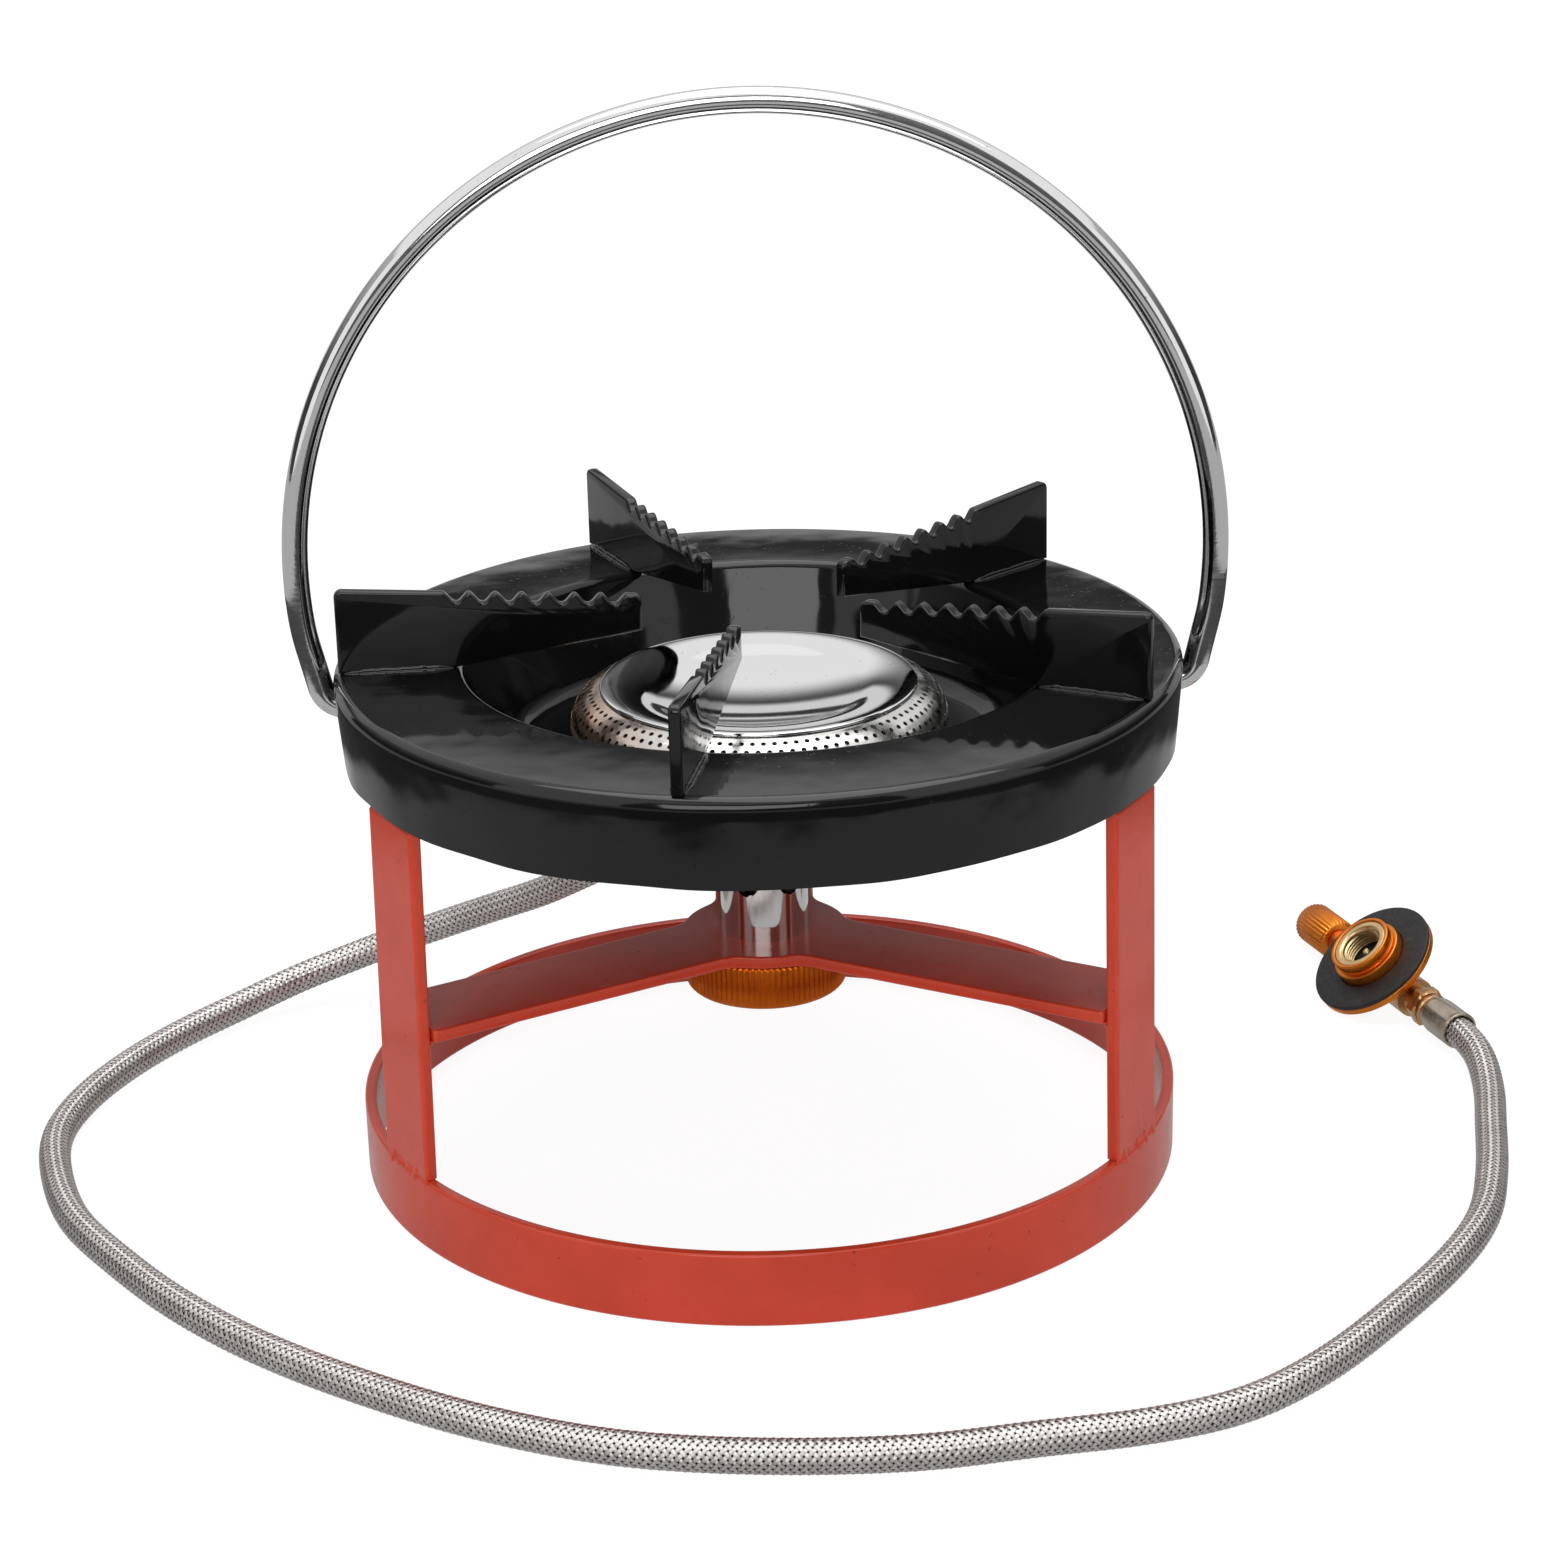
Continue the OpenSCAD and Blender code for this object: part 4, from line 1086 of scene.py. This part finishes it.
def leg_ring(bearing, z, inset):
    """A leg's section at a height, fitted inside the pan's skirt where it runs under it"""
    turn = Matrix.Rotation(radians(bearing), 4, "Z")
    x, y = LEG_T / 2 - inset, LEG_W / 2 - inset
    section = held(soften([(-x, -y), (x, -y), (x, y), (-x, y)], LEG_ROUND, 5))
    ring = []
    for across, along in section:
        p = turn @ Vector((leg_face(z) - LEG_T / 2 + across, along, z))
        if z > PAN_TOP - SKIRT_H - 0.5:
            room = skirt_inside(atan2(p.y, p.x), z) - 0.05
            p.xy = p.xy * min(1.0, room / p.xy.length)
        ring.append(p * MM)
    return ring


def make_leg(name, bearing):
    """A flat bar that stands on the ring's top edge and ends under the pan"""
    lip = PAN_TOP - SKIRT_H
    foot = RING_TOP - 0.05
    plain = [foot + LEG_BEVEL, foot + 0.5, LEG_MIDDLE] + [lip + step for step in LIP_LEVELS]
    plain.append(LEG_TOP - LEG_BEVEL)
    levels = [(foot, LEG_BEVEL)] + [(z, 0) for z in plain] + [(LEG_TOP, LEG_BEVEL)]
    rings = [leg_ring(bearing, z, inset) for z, inset in levels]
    stand_in("flat_leg_" + name, loft(rings), [PAINT], "leg_" + name)


def bracket_outline():
    """Three arms that run into the centre disc through hollow fillets"""
    half = ARM_W / 2
    x = sqrt((HUB_R + ARM_FILLET) ** 2 - (half + ARM_FILLET) ** 2)
    lean = degrees(atan2(half + ARM_FILLET, x))
    outline = []
    for bearing in LEG_TURNS.values():
        one = (arc(x, -half - ARM_FILLET, ARM_FILLET, 180 - lean, 90, 10)
               + arc(ARM_END - ARM_CORNER, ARM_CORNER - half, ARM_CORNER, -90, 0, 4)
               + arc(ARM_END - ARM_CORNER, half - ARM_CORNER, ARM_CORNER, 0, 90, 4)
               + arc(x, half + ARM_FILLET, ARM_FILLET, -90, lean - 180, 10)
               + arc(0, 0, HUB_R, lean, 120 - lean, 8)[1:-1])
        turn = Matrix.Rotation(radians(bearing), 2)
        outline += [tuple(turn @ Vector(p)) for p in one]
    return outline


def make_bracket():
    """The three-armed plate, with its edges rounded by the paint"""
    outline = bracket_outline()
    low, high = PLATE_TOP - PLATE_T, PLATE_TOP
    side = [(-0.2, low)] + arc(0, low + PLATE_EDGE, PLATE_EDGE, -90, 0, 4)
    side += arc(0, high - PLATE_EDGE, PLATE_EDGE, 0, 90, 4) + [(-0.2, high)]
    edge = [(z, PLATE_EDGE - x) for x, z in side]
    rings = [[Vector((x, y, z)) * MM for x, y in drawn_in(outline, inset)] for z, inset in edge]
    for z in (high, low):
        rings.append([Vector((*(Vector(p).normalized() * PLATE_HOLE), z)) * MM for p in outline])
    stand_in("welded_bracket", loft(rings, True), [PAINT], "bracket")


def make_bead(name, start, end, out_a, out_b, size, material, seed, rough=0.16):
    """A weld bead in the corner between two faces: out_a and out_b point along the faces, away from it"""
    run = end - start
    ahead = run.normalized()
    steps = max(10, int(run.length / (0.7 * MM)))
    rings = []
    for k in range(steps + 1):
        t = k / steps
        at = start + run * t
        leg = size * (1 - rough + rough * ripple(t * run.length / (1.6 * MM), seed))
        leg *= min(1.0, 0.25 + 5 * t, 0.25 + 5 * (1 - t))
        ring = [at - (out_a + out_b) * 0.15 * size]
        for j in range(7):
            a = pi / 2 * j / 6
            bulge = 0.62 + 0.38 * abs(cos(2 * a))
            ring.append(at + (out_a * cos(a) + out_b * sin(a)) * leg * bulge
                        + ahead * 0.1 * size * ripple(k * 0.9, seed + j))
        rings.append(ring)
    piece(name, *loft(rings), [material], "stand", 50)


HANDS = ((1, "a"), (-1, "b"))


def make_claw_welds():
    """A bead along each side of each pot support's foot"""
    for number, (name, bearing) in enumerate(CLAW_TURNS.items()):
        out, side = polar(bearing)
        for hand, letter in HANDS:
            foot = (side * (hand * CLAW_T / 2) + UP * PAN_TOP) * MM
            make_bead("weld_%s_%s" % (name, letter), out * (CLAW_FOOT + 0.6) * MM + foot,
                      out * (CLAW_OUT - 1.5) * MM + foot, side * hand, UP, 1.3 * MM, ENAMEL,
                      number * 2 + hand)


def make_leg_welds():
    """Beads over the base ring's edge under each leg, and under the arms' ends"""
    arm_z = PLATE_TOP - PLATE_T
    for number, (name, bearing) in enumerate(LEG_TURNS.items()):
        out, side = polar(bearing)
        at = out * (LEG_FACE - 0.2) + UP * (RING_TOP + 0.1)
        reach = side * LEG_W * 0.54
        make_bead("weld_ring_" + name, (at - reach) * MM, (at + reach) * MM, out * 0.6 - UP * 0.8, UP,
                  2.4 * MM, PAINT, 3 + number, 0.45)
        for hand, letter in HANDS:
            low = out * (leg_face(arm_z) - LEG_T) + side * (hand * 8.5) + UP * arm_z
            make_bead("weld_arm_%s_%s" % (name, letter), (low + side * 3) * MM, (low - side * 3) * MM, -out,
                      -UP, 1.9 * MM, PAINT, 11 + number + hand)


# ---- studio

def area_light(name, at, aim, size, power):
    data = bpy.data.lights.new(name, "AREA")
    data.shape = "RECTANGLE"
    data.size, data.size_y = size
    data.energy = power
    light = linked(name, data)
    light.location = at
    light.rotation_euler = (Vector(aim) - Vector(at)).to_track_quat("-Z", "Y").to_euler()
    light.visible_camera = False


def empty_material(name):
    material = bpy.data.materials.new(name)
    material.use_nodes = True
    material.node_tree.nodes.clear()
    return material, Graph(material.node_tree)


def floor_material():
    """Pale to the light, near white to the camera and in reflections, with a faint shadow kept"""
    material, g = empty_material("floor")
    path = g.nodes.new("ShaderNodeLightPath").outputs
    seen = g.math("MAXIMUM", path["Is Camera Ray"], path["Is Glossy Ray"])
    pale = g.node("ShaderNodeBsdfDiffuse", {"Color": rgb(0.82, 0.82, 0.82)})
    shadow = g.node("ShaderNodeBsdfDiffuse", {"Color": rgb(0.2, 0.2, 0.2)})
    glow = g.node("ShaderNodeEmission", {"Strength": 0.9})
    both = g.node("ShaderNodeAddShader", {0: shadow, 1: glow})
    pick = g.node("ShaderNodeMixShader", {0: seen, 1: pale, 2: both})
    g.node("ShaderNodeOutputMaterial", {"Surface": pick})
    return material


def card_material(low, high, start, end, around=False):
    """Glows from low to high as its height, or its distance around the middle, goes from start to end"""
    material, g = empty_material("card")
    place = g.node("ShaderNodeTexCoord", {}, "Object")
    if around:
        measure = g.node("ShaderNodeVectorMath", {0: place}, "Value", operation="LENGTH")
    else:
        measure = g.node("ShaderNodeSeparateXYZ", {0: place}, "Z")
    level = g.ramp(measure, start, end, low, high, interpolation_type="SMOOTHSTEP")
    glow = g.node("ShaderNodeEmission", {"Strength": level})
    g.node("ShaderNodeOutputMaterial", {"Surface": glow})
    return material


def backdrop(name, points, faces, material):
    mesh = bpy.data.meshes.new(name)
    mesh.from_pydata(points, [], faces)
    mesh.materials.append(material)
    obj = linked(name, mesh)
    return obj


def reflected_only(card):
    card.visible_camera = False
    card.visible_diffuse = False
    card.visible_shadow = False
    card.visible_transmission = False


def make_card(name, a, b, low, high, material):
    """An upright card from a to b, each (x, y), that only reflections show"""
    corners = [(*a, low), (*b, low), (*b, high), (*a, high)]
    reflected_only(backdrop(name, corners, [(0, 1, 2, 3)], material))


def make_floor_card(name, reach, z, material):
    """A round patch of the floor as reflections see it"""
    points = [around(reach, a, z) for a in bearings(64)]
    reflected_only(backdrop(name, points, [tuple(range(64))], material))


def make_world():
    """A plain pale light, and white where the camera, a mirror or glass looks past the floor"""
    world = bpy.data.worlds.new("studio")
    bpy.context.scene.world = world
    world.use_nodes = True
    g = Graph(world.node_tree)
    g.nodes.clear()
    path = g.nodes.new("ShaderNodeLightPath").outputs
    seen = g.math("MAXIMUM", path["Is Camera Ray"], path["Is Glossy Ray"])
    seen = g.math("MAXIMUM", seen, path["Is Transmission Ray"])
    white = rgb(1, 1, 1)
    lit = g.node("ShaderNodeBackground", {"Color": white, "Strength": WORLD_LIGHT})
    shown = g.node("ShaderNodeBackground", {"Color": white, "Strength": 1.0})
    pick = g.node("ShaderNodeMixShader", {0: seen, 1: lit, 2: shown})
    g.node("ShaderNodeOutputWorld", {"Surface": pick})


WORLD_LIGHT = 0.42
FLOOR = -0.00015
FLOOR_REACH = 6.0
CARD_FOOT = 0.03
SIDE_X = 2.0


def make_studio():
    """The floor, the light, and cards that give the metal and the enamel something to reflect"""
    bpy.context.scene.view_settings.view_transform = "Standard"
    make_world()
    corners = [(x * FLOOR_REACH, y * FLOOR_REACH, FLOOR) for x, y in ((-1, -1), (1, -1), (1, 1), (-1, 1))]
    backdrop("floor", corners, [(0, 1, 2, 3)], floor_material())
    make_card("back_card", (-2.6, 1.9), (2.6, 1.9), 0.05, 1.9, card_material(0.08, 0.9, 0.68, 1.15))
    make_card("low_card", (-2.0, 1.85), (2.0, 1.85), CARD_FOOT, 0.67, card_material(0.7, 0.08, 0.54, 0.67))
    side = card_material(0.05, 0.5, 0.4, 1.4)
    for name, x in (("left_card", -SIDE_X), ("right_card", SIDE_X)):
        make_card(name, (x, -0.6), (x, 2.2), CARD_FOOT, 1.4, side)
    make_card("front_card", (-1.4, -1.9), (1.4, -1.9), CARD_FOOT, 2.3, card_material(0.1, 0.22, 0.2, 2.2))
    make_floor_card("near_floor_card", 0.52, 0.0012, card_material(0.5, 0.07, 0.318, 0.338, around=True))
    make_floor_card("far_floor_card", 2.5, 0.0006, card_material(0.5, 0.5, 0, 1))
    area_light("overhead", (0.1, 0.1, 1.5), (0, 0, 0.1), (1.5, 1.2), 13)
    area_light("front_fill", (-0.25, -1.7, 0.9), (0, 0, 0.05), (1.2, 0.9), 11)


hose, hose_line = make_hose()
make_base_ring()
make_pan()
for claw, bearing in CLAW_TURNS.items():
    make_claw(claw, bearing)
make_claw_welds()
for leg, bearing in LEG_TURNS.items():
    make_leg(leg, bearing)
make_bracket()
make_leg_welds()
make_bowl()
make_port_ring()
make_cap()
make_clamp_nut()
make_bail()
make_fittings()
make_adapter()
make_thread()
make_knob()
make_studio()
